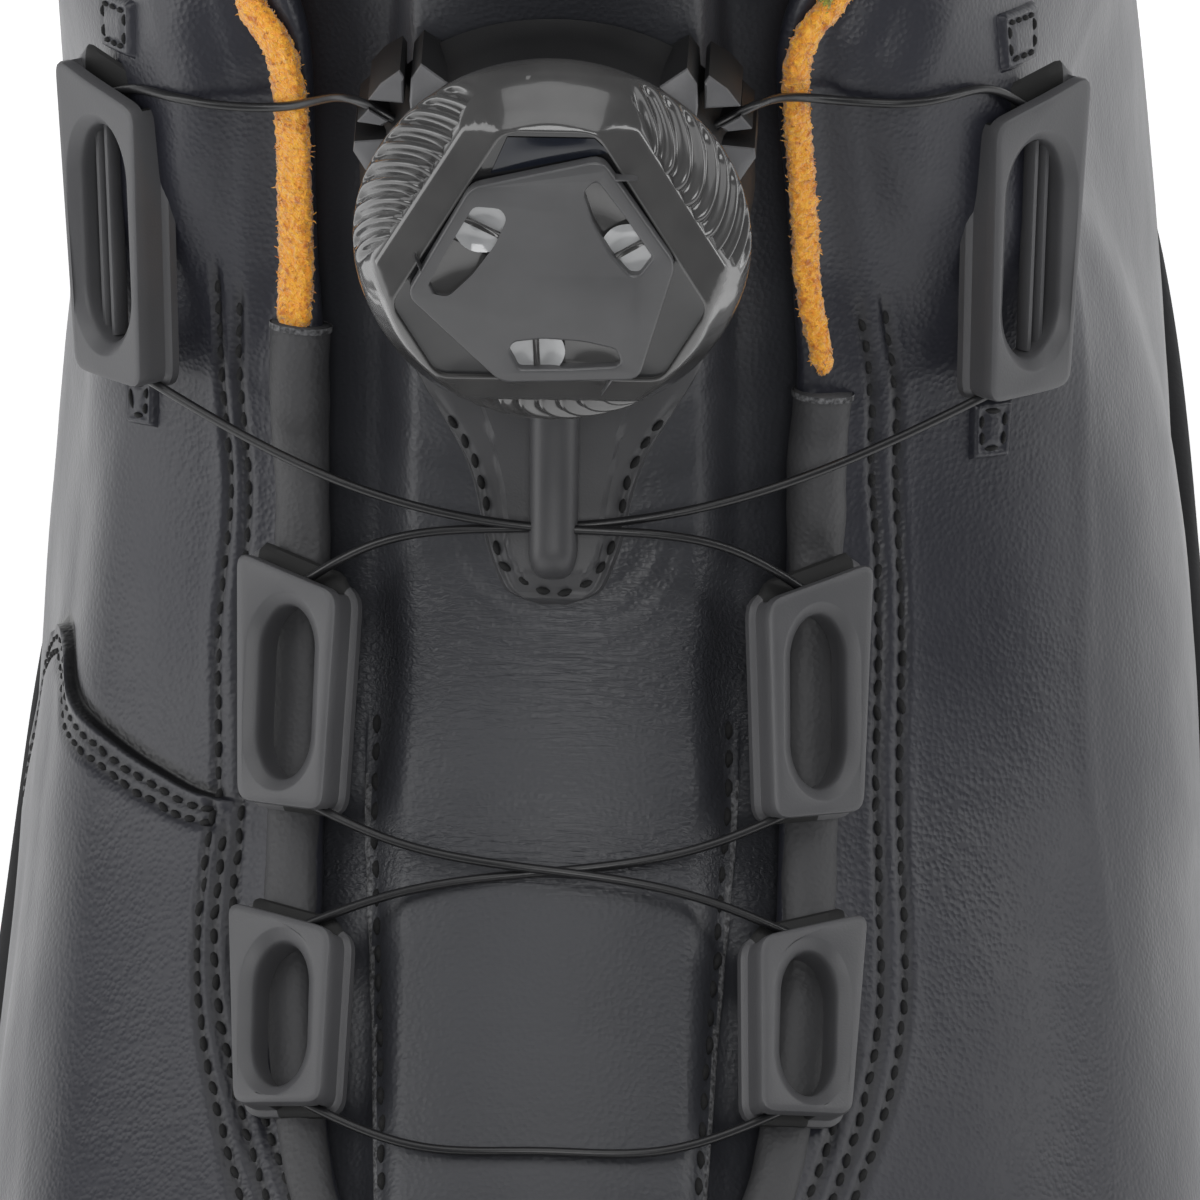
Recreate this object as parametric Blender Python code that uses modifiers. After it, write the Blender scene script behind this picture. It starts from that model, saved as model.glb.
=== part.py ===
"""Left safety shoe, ankle high, smooth black leather, with a wire lace and a dial.

Toe to -Y, heel to +Y, outer (lateral) side to +X, standing on its sole at z = 0.
Sizes and tables are in millimetres; the meshes are made in metres.
"""

import math

import bmesh
import bpy
import numpy as np
from mathutils import Matrix, Vector
from mathutils.bvhtree import BVHTree

MM = 0.001

# ---------------------------------------------------------------- driving sizes
LENGTH = 308.0  # outsole, toe to heel
BALL_WIDTH = 114.0  # outsole across the ball of the foot
RIM_WALL = 4.8  # from the outsole's edge in to the feather line of the upper
GAP = 0.3  # clearance between pieces that meet
WALL_VAMP = 2.4  # leather and lining
WALL_COLLAR = 6.5  # leather, foam and lining
COLLAR_SHIFT = -1.0  # the collar sits a little to the inner side of the lacing line
FLARE_FROM_Y = 28.0  # the collar flares away from this line across the shoe
THROAT_Y, THROAT_Z = -45.0, 78.0  # ridge point at sigma 0, just behind the throat
INSTEP_RADIUS, ANKLE_RADIUS = 34.0, 41.0  # cross-section arcs over the ridge
INSOLE_THICK = 4.0
LUG_DEPTH, LUG_GROOVE = 4.0, 5.0
COLUMNS = 68  # sections round the last
ROWS_T = (0.0, 0.05, 0.1, 0.17, 0.25, 0.33, 0.41, 0.5, 0.59, 0.68, 0.77, 0.85, 0.92, 1.0)
RIM_ROWS = 3  # the first rows of the upper stand inside the cup rim

# outsole outline: u along the length from the toe, centre line and half width as
# fractions of the ball width
OUTLINE = [  # u, centre, half
    (0.000, -0.085, 0.000),
    (0.030, -0.080, 0.250),
    (0.080, -0.066, 0.358),
    (0.160, -0.038, 0.432),
    (0.250, -0.014, 0.476),
    (0.340, 0.012, 0.500),
    (0.440, 0.025, 0.484),
    (0.550, 0.029, 0.454),
    (0.660, 0.031, 0.426),
    (0.770, 0.030, 0.403),
    (0.870, 0.012, 0.376),
    (0.950, 0.002, 0.282),
    (1.000, 0.000, 0.000),
]
# height of the cup floor and of the tread along the sole
SOLE_LEVELS = [  # u, floor, tread
    (0.000, 32.0, 18.0),
    (0.050, 27.0, 10.5),
    (0.100, 23.0, 5.0),
    (0.160, 19.5, 1.4),
    (0.210, 18.0, 0.0),
    (0.300, 17.0, 0.0),
    (0.400, 18.0, 0.0),
    (0.480, 20.0, 0.0),
    (0.530, 21.5, 3.0),
    (0.590, 23.5, 7.0),
    (0.640, 25.0, 5.0),
    (0.690, 25.5, 0.0),
    (0.800, 26.5, 0.0),
    (0.930, 27.0, 0.0),
    (1.000, 27.5, 5.0),
]
# slope of the ridge (middle of tongue and instep) along its own length
RIDGE = [  # sigma, slope in degrees
    (-40, 20),
    (-10, 23),
    (0, 25),
    (15, 27),
    (30, 33),
    (45, 42),
    (57, 53),
    (70, 65),
    (85, 72),
    (100, 75),
    (130, 77),
]
# sections of the upper that end on the throat or the eyestays
INSTEP_SECTIONS = [  # name, u, sigma, half_gap, fan, rise, lean_in, lean_out, run
    ("toe", 0.000, -10.0, 0.0, 0, 42, 0.02, 0.02, 52),
    ("toe_round", 0.014, -9.6, 4.5, 9, 42, 0.02, 0.02, 51),
    ("toe_corner", 0.050, -8.4, 8.6, 20, 42, 0.02, 0.02, 48),
    ("toe_side", 0.112, -5.6, 12.6, 36, 41, 0.03, 0.02, 43),
    ("vamp", 0.195, 1.0, 16.2, 58, 40, 0.04, 0.02, 36),
    ("ball", 0.290, 13.0, 18.0, 80, 38, 0.05, 0.02, 28),
    ("waist", 0.375, 28.0, 18.4, 90, 40, 0.05, 0.04, 25),
    ("instep", 0.450, 45.0, 18.6, 90, 46, 0.06, 0.06, 24),
    ("lace_top", 0.520, 62.0, 18.8, 84, 54, 0.03, 0.08, 23),
    ("ankle_front", 0.580, 79.0, 19.2, 74, 60, 0.04, 0.10, 23),
    ("collar_front", 0.630, 93.0, 20.0, 58, 62, 0.06, 0.10, 26),
]
# sections that end on the collar's top line
COLLAR_SECTIONS = [  # name, u, x, y, z, flare, rise, lean_in, lean_out, run
    ("collar_corner", 0.680, 25.5, 30.0, 150.0, 24, 58, 0.08, 0.09, 33),
    ("collar_ankle", 0.730, 35.0, 46.0, 148.0, 10, 54, 0.09, 0.08, 36),
    ("ankle_side", 0.790, 40.5, 72.0, 142.0, 4, 50, 0.09, 0.07, 38),
    ("quarter", 0.865, 36.0, 106.0, 141.0, -2, 48, 0.07, 0.06, 42),
    ("heel_side", 0.935, 25.5, 129.0, 145.0, -9, 47, 0.06, 0.06, 46),
    ("heel_round", 0.982, 11.0, 137.5, 148.0, -12, 46, 0.06, 0.06, 48),
    ("heel", 1.000, 0.0, 139.5, 149.0, -13, 46, 0.06, 0.06, 48),
]
TONGUE = [  # sigma, half_width, thick, edge_drop
    (-18, 20.0, 3.0, 3.9),
    (0, 23.0, 3.4, 3.7),
    (20, 24.5, 4.0, 3.6),
    (45, 25.0, 5.0, 3.8),
    (70, 25.5, 6.0, 4.8),
    (90, 26.5, 6.5, 7.2),
    (106, 27.0, 7.0, 7.6),
    (116, 27.0, 7.0, 4.5),
    (126, 24.0, 6.0, 3.0),
]


# ---------------------------------------------------------------- curves
def cubic(xs, ys):
    """Natural cubic spline through (xs, ys); ys may have several columns."""
    xs, ys = np.asarray(xs, float), np.asarray(ys, float)
    flat = ys.ndim == 1
    ys = ys[:, None] if flat else ys
    n, h = len(xs), np.diff(xs)
    a, r = np.eye(n), np.zeros_like(ys)
    for i in range(1, n - 1):
        a[i, i - 1 : i + 2] = h[i - 1], 2 * (h[i - 1] + h[i]), h[i]
        r[i] = 6 * ((ys[i + 1] - ys[i]) / h[i] - (ys[i] - ys[i - 1]) / h[i - 1])
    m = np.linalg.solve(a, r)

    def at(x):
        x = np.asarray(x, float)
        i = np.clip(np.searchsorted(xs, x) - 1, 0, n - 2)
        d, hi = (x - xs[i])[..., None], h[i][..., None]
        slope = (ys[i + 1] - ys[i]) / hi - hi * (2 * m[i] + m[i + 1]) / 6
        out = ys[i] + d * (slope + d * (m[i] / 2 + d * (m[i + 1] - m[i]) / (6 * hi)))
        return out[..., 0] if flat else out

    return at


def monotone(xs, ys):
    """Cubic through (xs, ys) that stays level where the table is level."""
    xs, ys = np.asarray(xs, float), np.asarray(ys, float)
    h, d = np.diff(xs), np.diff(ys) / np.diff(xs)
    k = np.zeros(len(xs))
    for i in range(1, len(xs) - 1):
        if d[i - 1] * d[i] > 0:
            w1, w2 = 2 * h[i] + h[i - 1], h[i] + 2 * h[i - 1]
            k[i] = (w1 + w2) / (w1 / d[i - 1] + w2 / d[i])
    k[0], k[-1] = d[0], d[-1]

    def at(x):
        x = np.clip(np.asarray(x, float), xs[0], xs[-1])
        i = np.clip(np.searchsorted(xs, x) - 1, 0, len(xs) - 2)
        s = (x - xs[i]) / h[i]
        return (
            ys[i] * (1 + 2 * s) * (1 - s) ** 2
            + ys[i + 1] * s * s * (3 - 2 * s)
            + h[i] * (k[i] * s * (1 - s) ** 2 - k[i + 1] * s * s * (1 - s))
        )

    return at


def smooth(x, lo, hi):
    s = np.clip((np.asarray(x, float) - lo) / (hi - lo), 0, 1)
    return s * s * (3 - 2 * s)


def unit(v):
    return v / np.linalg.norm(v, axis=-1, keepdims=True)


_turn = [math.acos(1 - 2 * row[0]) for row in OUTLINE]
_centre = cubic(_turn, [row[1] * BALL_WIDTH for row in OUTLINE])
_half = cubic(_turn, [row[2] * BALL_WIDTH for row in OUTLINE])
floor_at = monotone([row[0] for row in SOLE_LEVELS], [row[1] for row in SOLE_LEVELS])
tread_at = monotone([row[0] for row in SOLE_LEVELS], [row[2] for row in SOLE_LEVELS])


def outline(u, side, inset):
    """Point of the sole's outline moved in by inset; side is +1 lateral, -1 medial."""
    turn = np.arccos(np.clip(1 - 2 * np.asarray(u, float), -1, 1))
    half = _half(turn)
    x = _centre(turn) + side * half * (1 - 2 * inset / BALL_WIDTH)
    y = -LENGTH / 2 + inset + u * (LENGTH - 2 * inset)
    return np.stack([x, y], -1)


# ridge: slope integrated along its length
_sig = np.arange(-40.0, 130.01, 0.5)
_slope = cubic([r[0] for r in RIDGE], [r[1] for r in RIDGE])
_rad = np.radians(_slope(_sig))
_step = np.stack([np.cos(_rad), np.sin(_rad)], -1) * 0.5
_path = np.concatenate([[[0, 0]], np.cumsum((_step[1:] + _step[:-1]) / 2, axis=0)])
_path += np.array([THROAT_Y, THROAT_Z]) - _path[np.searchsorted(_sig, 0.0)]


def instep(sigma, x, lift=0.0):
    """Point, ridge direction, across direction and normal of the instep surface.

    sigma runs along the ridge, x across it as a length along the arc's chord,
    lift along the normal.
    """
    sigma, x = np.broadcast_arrays(np.asarray(sigma, float), np.asarray(x, float))
    y, z = (np.interp(sigma, _sig, _path[:, i]) for i in (0, 1))
    s = np.radians(_slope(sigma))
    r = INSTEP_RADIUS + (ANKLE_RADIUS - INSTEP_RADIUS) * smooth(sigma, 45, 95)
    a = np.arcsin(np.clip(x / r, -0.999, 0.999))
    o = np.zeros_like(s)
    along = np.stack([o, np.cos(s), np.sin(s)], -1)
    up = np.stack([o, -np.sin(s), np.cos(s)], -1)
    side = np.stack([o + 1, o, o], -1)
    sa, ca = np.sin(a)[..., None], np.cos(a)[..., None]
    normal = side * sa + up * ca
    across = side * ca - up * sa
    foot = np.stack([o, y, z], -1) - up * r[..., None]
    return foot + normal * (r[..., None] + np.asarray(lift)[..., None]), along, across, normal


# ---------------------------------------------------------------- the last
def section_table():
    """Rows for the lateral half from toe to heel: u, edge, edge tangent, handles."""
    rows = []
    for _, u, sigma, gap, fan, rise, lean_in, lean_out, run in INSTEP_SECTIONS:
        p, along, across, _ = instep(sigma, gap)
        f = math.radians(fan)
        t = -along * math.cos(f) + across * math.sin(f)
        rows.append([u, *p, *t, rise, lean_in, lean_out, run])
    for _, u, x, y, z, flare, rise, lean_in, lean_out, run in COLLAR_SECTIONS:
        out = unit(np.array([x, (y - FLARE_FROM_Y) * 0.35, 0.0]))
        f = math.radians(flare)
        t = out * math.sin(f) - np.array([0, 0, math.cos(f)])
        rows.append([u, x, y, z, *t, rise, lean_in, lean_out, run])
    return np.array(rows)


_rows = section_table()
_last = len(_rows) - 1
_odd = np.ones(_rows.shape[1])
_odd[[0, 1, 4]] = -1  # u, edge x and tangent x change sign across the middle
_front = _rows[3:0:-1] * _odd
_back = _rows[-2:-5:-1] * _odd
_back[:, 0] += 2.0
_sections = cubic(
    np.arange(-3, _last + 4), np.concatenate([_front, _rows, _back])
)


def last_surface(station, side, t):
    """Outer face of the upper: station 0 at the toe to _last at the heel, t from the
    feather line (0) to the top edge (1). Arrays broadcast together."""
    station, side, t = np.broadcast_arrays(
        np.asarray(station, float), np.asarray(side, float), np.asarray(t, float)
    )
    q = _sections(station)
    u = np.clip(q[..., 0], 0, 1)
    f2 = outline(u, side, RIM_WALL)
    du = 1e-3
    ahead = outline(np.clip(u + du, 0, 1), side, RIM_WALL)
    behind = outline(np.clip(u - du, 0, 1), side, RIM_WALL)
    d = unit(ahead - behind)
    out = np.stack([d[..., 1] * side, -d[..., 0] * side], -1)
    foot = np.concatenate([f2, floor_at(u)[..., None]], -1)
    flip = np.stack([side, np.ones_like(side), np.ones_like(side)], -1)
    edge, tangent = q[..., 1:4] * flip, unit(q[..., 4:7]) * flip
    edge[..., 0] += COLLAR_SHIFT * smooth(station, 10, 13)
    rise, run = q[..., 7:8], q[..., 10:11]
    lean = np.where(side < 0, q[..., 8], q[..., 9])[..., None]
    lift = np.concatenate([out * lean, np.ones_like(lean)], -1) * rise
    t = t[..., None]
    return (
        foot * (1 - t) ** 3
        + 3 * (foot + lift) * t * (1 - t) ** 2
        + 3 * (edge + tangent * run) * t * t * (1 - t)
        + edge * t**3
    )


def ring():
    """Station and side of each section round the last, starting at the toe."""
    half = COLUMNS // 2
    k = np.arange(COLUMNS)
    side = np.where(k <= half, 1.0, -1.0)
    station = np.where(k <= half, k, COLUMNS - k) * (_last / half)
    return station, side


STATION, SIDE = ring()
U_RING = np.clip(_sections(STATION)[:, 0], 0, 1)


def grid_normals(grid):
    """Outward normals of a closed grid [row, column, xyz]."""
    along = np.roll(grid, -1, axis=1) - np.roll(grid, 1, axis=1)
    up = np.gradient(grid, axis=0)
    return unit(np.cross(along, up))


UPPER = last_surface(STATION[None, :], SIDE[None, :], np.array(ROWS_T)[:, None])
UPPER_N = grid_normals(UPPER)


def wall_at(station, t):
    """Thickness of the upper: padded round the collar, leather elsewhere."""
    pad = smooth(station, 9.0, 12.0) * smooth(t, 0.5, 0.72)
    edge = 1 - 0.35 * smooth(t, 0.9, 1.0)
    return WALL_VAMP + (WALL_COLLAR - WALL_VAMP) * pad * edge


# ---------------------------------------------------------------- scene and helpers
for old in list(bpy.data.objects):
    bpy.data.objects.remove(old, do_unlink=True)
scene = bpy.context.scene
PARTS = bpy.data.collections.new("safety_shoe")
CUTTERS = bpy.data.collections.new("safety_shoe_cutters")
scene.collection.children.link(PARTS)
scene.collection.children.link(CUTTERS)
ROOT = bpy.data.objects.new("shoe_origin", None)
PARTS.objects.link(ROOT)


def material(name, colour, roughness, metallic=0.0):
    mat = bpy.data.materials.new(name)
    mat.use_nodes = True
    bsdf = mat.node_tree.nodes["Principled BSDF"]
    bsdf.inputs["Base Color"].default_value = (*colour, 1.0)
    bsdf.inputs["Roughness"].default_value = roughness
    bsdf.inputs["Metallic"].default_value = metallic
    return mat


LEATHER = material("black_leather", (0.035, 0.036, 0.040), 0.45)
RUBBER = material("black_rubber", (0.018, 0.018, 0.018), 0.75)
FOAM = material("insole_foam", (0.10, 0.10, 0.10), 0.9)
HARD = material("black_plastic", (0.030, 0.030, 0.032), 0.5)
SMOKY = material("smoky_plastic", (0.045, 0.047, 0.050), 0.2)
WIRE = material("coated_wire", (0.012, 0.012, 0.012), 0.3)


def add(name, mesh, mat, collection=PARTS):
    obj = bpy.data.objects.new(name, mesh)
    collection.objects.link(obj)
    if collection is PARTS:
        obj.parent = ROOT
        mesh.materials.append(mat)
        mesh.shade_smooth()
        mesh.set_sharp_from_angle(angle=math.radians(40))
    else:
        obj.hide_render = True
        obj.display_type = "WIRE"
    return obj


def mesh_of(name, points, faces):
    mesh = bpy.data.meshes.new(name)
    mesh.from_pydata([tuple(p) for p in np.asarray(points) * MM], [], faces)
    bm = bmesh.new()
    bm.from_mesh(mesh)
    bmesh.ops.recalc_face_normals(bm, faces=bm.faces)
    bm.to_mesh(mesh)
    bm.free()
    return mesh


def loft_rings(name, rings, cap_first=True, cap_last=True):
    """Closed rings of equal count bridged in order; each cap is a ladder of faces
    between the two sides, so it follows the length of the sole."""
    n = len(rings[0])
    points = np.concatenate(rings)
    faces = []
    for r in range(len(rings) - 1):
        for k in range(n):
            a, b = r * n + k, r * n + (k + 1) % n
            faces.append((a, b, b + n, a + n))

    def ladder(base):
        faces.append((base, base + 1, base + n - 1))
        for k in range(1, n // 2 - 1):
            faces.append((base + k, base + k + 1, base + n - k - 1, base + n - k))
        h = n // 2
        faces.append((base + h - 1, base + h, base + h + 1))

    if cap_first:
        ladder(0)
    if cap_last:
        ladder((len(rings) - 1) * n)
    return mesh_of(name, points, faces)


def sheet(name, grid, mat, thick, weights):
    """Open grid [row, column] thickened inward by Solidify, with its own thickness
    at each point."""
    rows, cols = grid.shape[:2]
    closed = np.allclose(grid[:, 0], grid[:, -1])
    used = cols - 1 if closed else cols
    points = grid[:, :used].reshape(-1, 3)
    faces = []
    for r in range(rows - 1):
        for k in range(cols - 1):
            a, b = r * used + k, r * used + (k + 1) % used
            faces.append((a, b, b + used, a + used))
    mesh = bpy.data.meshes.new(name)
    mesh.from_pydata([tuple(p) for p in points * MM], [], faces)
    obj = add(name, mesh, mat)
    group = obj.vertex_groups.new(name="wall")
    for i, w in enumerate(np.asarray(weights)[:, :used].reshape(-1)):
        group.add([i], float(w / thick), "REPLACE")
    solid = obj.modifiers.new("wall", "SOLIDIFY")
    solid.thickness = thick * MM
    solid.offset = -1.0
    solid.use_even_offset = False
    solid.vertex_group = "wall"
    solid.thickness_vertex_group = 0.0
    return obj


# ---------------------------------------------------------------- upper
wrap = lambda g: np.concatenate([g, g[:, :1]], axis=1)
t_rows = np.array(ROWS_T)[:, None]
walls = wall_at(STATION[None, :], t_rows)
upper = sheet("upper", wrap(UPPER), LEATHER, WALL_COLLAR, wrap(walls))

# ---------------------------------------------------------------- tongue
TONGUE_SIGMA = np.array([-18, -10, 0, 10, 20, 30, 40, 50, 60, 70, 80, 90, 98, 106, 112, 118, 123, 126.0])
TONGUE_ACROSS = np.array([-1, -0.88, -0.74, -0.62, -0.45, -0.22, 0, 0.22, 0.45, 0.62, 0.74, 0.88, 1])
_tongue = cubic([r[0] for r in TONGUE], [r[1:] for r in TONGUE])


def tongue_drop(sigma, x, edge_drop):
    """Depth of the tongue's face under the instep surface."""
    middle = 1.2 * (1 - smooth(sigma, 100, 118)) + 2.8 * (1 - smooth(sigma, -16, 2))
    return middle + (edge_drop - middle) * smooth(np.abs(x), 11.0, 16.5)


half, thick, edge_drop = (_tongue(TONGUE_SIGMA)[:, i : i + 1] for i in range(3))
tx = TONGUE_ACROSS[None, :] * half
ts = np.broadcast_to(TONGUE_SIGMA[:, None], tx.shape)
tongue_grid = instep(ts, tx, -tongue_drop(ts, tx, edge_drop))[0]
pad = thick * (0.55 + 0.45 * (1 - smooth(np.abs(TONGUE_ACROSS), 0.6, 1.0))[None, :])
tongue = sheet("tongue", tongue_grid, LEATHER, 7.0, pad)

# ---------------------------------------------------------------- outsole
def sole_ring(inset, z):
    xy = np.stack([outline(u, s, inset) for u, s in zip(U_RING, SIDE)])
    return np.concatenate([xy, np.broadcast_to(z, U_RING.shape)[:, None]], -1)


floor, tread = floor_at(U_RING), tread_at(U_RING)
seat = UPPER[0] + UPPER_N[0] * GAP
seat[:, 2] = floor - GAP
inside = [UPPER[j] + UPPER_N[j] * GAP for j in range(RIM_ROWS)]
flat_n = UPPER_N[RIM_ROWS - 1] * np.array([1, 1, 0])
rim_top = inside[-1] + unit(flat_n) * 2.2
rim_top[:, 2] -= 0.3
rings = [
    seat,
    *inside[1:],
    rim_top,
    sole_ring(0.0, floor - 3.0),
    sole_ring(0.8, tread + 0.35 * (floor - tread)),
    sole_ring(2.0, tread + 2.0),
    sole_ring(3.6, tread),
]
outsole = add("outsole", loft_rings("outsole", rings), RUBBER)

TREAD_GROOVES = [  # u, slant in degrees
    (0.115, 14),
    (0.185, 12),
    (0.255, 10),
    (0.325, 8),
    (0.395, 6),
    (0.460, 4),
    (0.745, -6),
    (0.810, -8),
    (0.875, -10),
]


def groove_cutter(name):
    """Bars across the tread, joined in one cutter."""
    bm = bmesh.new()
    for u, slant in TREAD_GROOVES:
        low = float(tread_at(u))
        spot = Vector((0, -LENGTH / 2 + u * LENGTH, low - 10.0 + LUG_DEPTH)) * MM
        turn = Matrix.Rotation(math.radians(slant), 4, "Z")
        size = Matrix.Diagonal((BALL_WIDTH * 1.4 * MM, LUG_GROOVE * MM, 20.0 * MM, 1.0))
        bmesh.ops.create_cube(bm, size=1.0, matrix=Matrix.Translation(spot) @ turn @ size)
    mesh = bpy.data.meshes.new(name)
    bm.to_mesh(mesh)
    bm.free()
    obj = add(name, mesh, None, CUTTERS)
    obj.parent = ROOT
    return obj


cut = outsole.modifiers.new("lugs", "BOOLEAN")
cut.operation = "DIFFERENCE"
cut.solver = "EXACT"
cut.object = groove_cutter("tread_grooves")

# ---------------------------------------------------------------- insole
insole_inset = RIM_WALL + WALL_VAMP + 1.2
insole = add(
    "insole",
    loft_rings(
        "insole",
        [
            sole_ring(insole_inset, floor + 0.2),
            sole_ring(insole_inset, floor + INSOLE_THICK - 1.0),
            sole_ring(insole_inset + 1.2, floor + INSOLE_THICK),
        ],
    ),
    FOAM,
)

# ---------------------------------------------------------------- lace guides
# each guide is named for its place on a pair of eyestays; low and top are the middles
# of its ends on the upper, as section station and height t
GUIDES = [  # name, low_station, low_t, top_station, top_t, length, width, window, lift
    ("lower", 4.66, 0.976, 5.83, 0.984, 17.4, 9.4, 4.8, 1.0),
    ("mid", 6.27, 0.979, 7.35, 0.989, 20.5, 9.4, 4.8, 1.1),
    ("upper", 8.44, 0.722, 10.53, 0.738, 25.8, 10.0, 5.4, 2.3),
]
GUIDE_THICK = 3.6
GUIDE_SLANT = 3.2  # the top edge falls towards the tongue
GUIDE_TURN = 7.0  # degrees that the guides face the tongue more than the leather does
WIRE_RADIUS = 0.45
WIRE_CLEAR = 0.4


def solid_from_curve(name, curve, place):
    """Mesh object made from a curve's evaluated shape, with welded caps."""
    maker = bpy.data.objects.new(name + "_curve", curve)
    scene.collection.objects.link(maker)
    maker.matrix_world = place
    bpy.context.view_layer.update()
    graph = bpy.context.evaluated_depsgraph_get()
    mesh = bpy.data.meshes.new_from_object(maker.evaluated_get(graph))
    mesh.name = name
    mesh.materials.clear()
    bm = bmesh.new()
    bm.from_mesh(mesh)
    bmesh.ops.remove_doubles(bm, verts=bm.verts, dist=1e-6)
    bmesh.ops.recalc_face_normals(bm, faces=bm.faces)
    bm.to_mesh(mesh)
    bm.free()
    bpy.data.objects.remove(maker, do_unlink=True)
    return mesh


def rounded(corners, radius, steps=3):
    """Polygon with its corners rounded."""
    out = []
    n = len(corners)
    for i in range(n):
        p = np.array(corners[i])
        a, b = unit(np.array(corners[i - 1]) - p), unit(np.array(corners[(i + 1) % n]) - p)
        for s in np.linspace(0, 1, steps):
            out.append(p + radius * (a * (1 - s) ** 2 + b * s**2))
    return out


def guide_outline(length, width, window, side):
    """Outer edge and window of a guide; +p points away from the tongue."""
    w, l = width / 2, length / 2
    outer = [(-w + 0.4, -l), (w - 0.8, -l + 0.6), (w, l), (-w, l - GUIDE_SLANT)]
    hole_l = length * 0.69 / 2
    r = window / 2
    hole = []
    for k in range(7):
        a = math.pi * k / 6
        hole.append((r * math.cos(a), hole_l - r + r * math.sin(a)))
    for k in range(7):
        a = math.pi + math.pi * k / 6
        hole.append((r * math.cos(a), -hole_l + r + r * math.sin(a)))
    hole = [(p, q - 0.12 * GUIDE_SLANT - 0.3) for p, q in hole]
    flip = lambda pts: [(p * side, q) for p, q in pts]
    return flip(rounded(outer, 1.5)), flip(hole)


def guide_frame(row, side):
    """Middle of the guide's underside, across, along and normal."""
    _, s0, t0, s1, t1, _, _, _, lift = row
    low, top = last_surface(s0, side, t0), last_surface(s1, side, t1)
    mid_s, mid_t = (s0 + s1) / 2, (t0 + t1) / 2
    e = 0.02
    du = last_surface(mid_s + e, side, mid_t) - last_surface(mid_s - e, side, mid_t)
    dt = last_surface(mid_s, side, mid_t + e) - last_surface(mid_s, side, mid_t - e)
    normal = unit(np.cross(du, dt)) * side
    along = unit(top - low)
    normal = unit(normal - along * np.dot(normal, along))
    across = np.cross(along, normal)
    turn = math.radians(GUIDE_TURN) * side
    across, normal = (
        across * math.cos(turn) + normal * math.sin(turn),
        normal * math.cos(turn) - across * math.sin(turn),
    )
    middle = (low + top + 2 * last_surface(mid_s, side, mid_t)) / 4
    return middle + normal * lift, across, along, normal


def placed(origin, across, along, normal):
    m = Matrix.Identity(4)
    for i, v in enumerate((across, along, normal)):
        m.col[i][:3] = v
    m.translation = Vector(origin) * MM
    return m


def place(obj, frame):
    m = placed(*frame)
    obj.location, obj.rotation_euler = m.to_translation(), m.to_euler()


ANCHORS = {}
for row in GUIDES:
    name, length, width, window = row[0], row[5], row[6], row[7]
    for side_name, side in (("medial", -1.0), ("lateral", 1.0)):
        curve = bpy.data.curves.new("guide", "CURVE")
        curve.dimensions = "2D"
        curve.fill_mode = "BOTH"
        curve.extrude = GUIDE_THICK / 2 * MM
        for loop in guide_outline(length, width, window, side):
            spline = curve.splines.new("POLY")
            spline.points.add(len(loop) - 1)
            for point, (p, q) in zip(spline.points, loop):
                point.co = (p * MM, q * MM, 0.0, 1.0)
            spline.use_cyclic_u = True
        node = f"guide_{name}_{side_name}"
        frame = guide_frame(row, side)
        lifted = Matrix.Translation((0, 0, GUIDE_THICK / 2 * MM))
        mesh = solid_from_curve(node, curve, Matrix.Identity(4))
        mesh.transform(lifted)
        place(add(node, mesh, HARD), frame)
        o, across, along, normal = frame
        mid = o + normal * GUIDE_THICK * 0.45
        ANCHORS[name, side, "top"] = mid + along * (length / 2 - GUIDE_SLANT / 2 + 0.9)
        ANCHORS[name, side, "low"] = (
            mid - along * (length / 2 + 0.9) - across * side * width * 0.2
        )

# ---------------------------------------------------------------- dial
DIAL_SIGMA = 82.6
CUP_RADIUS, CUP_TOP = 14.4, 6.6
FLANGE_TOP, FLANGE_THICK = 1.2, 1.5
LOBE_TURN, LOBE_REACH = 30.0, 16.0  # the two lace ports, degrees up from the side
FLANGE = [  # sigma, half_width of the sewn flange from its foot to its head
    (50.2, 1.4),
    (51.2, 3.3),
    (53.5, 4.8),
    (57.0, 5.5),
    (62.0, 7.4),
    (65.5, 9.6),
    (69.5, 12.4),
    (75.0, 14.6),
    (82.0, 15.8),
    (89.0, 15.2),
    (94.0, 13.2),
    (97.3, 10.0),
    (99.2, 6.0),
]
KEEPER = [  # sigma, height of the rib that holds the crossing down
    (50.8, 1.7),
    (51.6, 3.1),
    (53.5, 3.9),
    (58.0, 3.9),
    (63.0, 3.9),
    (69.5, 3.9),
]
KEEPER_WIDTH = 3.8
TUNNEL_SIGMA, TUNNEL_LONG, TUNNEL_LIFT, TUNNEL_HIGH = 54.3, 3.2, 2.2, 1.7
KNOB_BASE = CUP_TOP + GAP
KNOB_PROFILE = [  # radius, height, from the middle of the face to the underside
    (0.0, 7.0),
    (9.6, 7.0),
    (10.4, 7.6),
    (11.8, 7.6),
    (13.8, 6.5),
    (15.1, 4.6),
    (15.6, 2.4),
    (15.3, 0.8),
    (14.2, 0.0),
    (0.0, 0.0),
]


def fan_loft(name, rings, foot=None):
    """Closed rings bridged in order, each end closed by a fan; foot is the first
    fan's middle where that isn't the ring's own."""
    n = len(rings[0])
    foot = np.mean(rings[0], axis=0) if foot is None else foot
    points = np.concatenate([*rings, [foot], [np.mean(rings[-1], axis=0)]])
    faces = []
    for r in range(len(rings) - 1):
        for k in range(n):
            a, b = r * n + k, r * n + (k + 1) % n
            faces.append((a, b, b + n, a + n))
    last = (len(rings) - 1) * n
    for k in range(n):
        faces.append((k, (k + 1) % n, len(points) - 2))
        faces.append((last + k, last + (k + 1) % n, len(points) - 1))
    return mesh_of(name, points, faces)


def helper(name, mesh):
    obj = add(name, mesh, None, CUTTERS)
    obj.parent = ROOT
    return obj


def boolean(obj, other, operation):
    mod = obj.modifiers.new(other.name, "BOOLEAN")
    mod.operation, mod.solver, mod.object = operation, "EXACT", other


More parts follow.
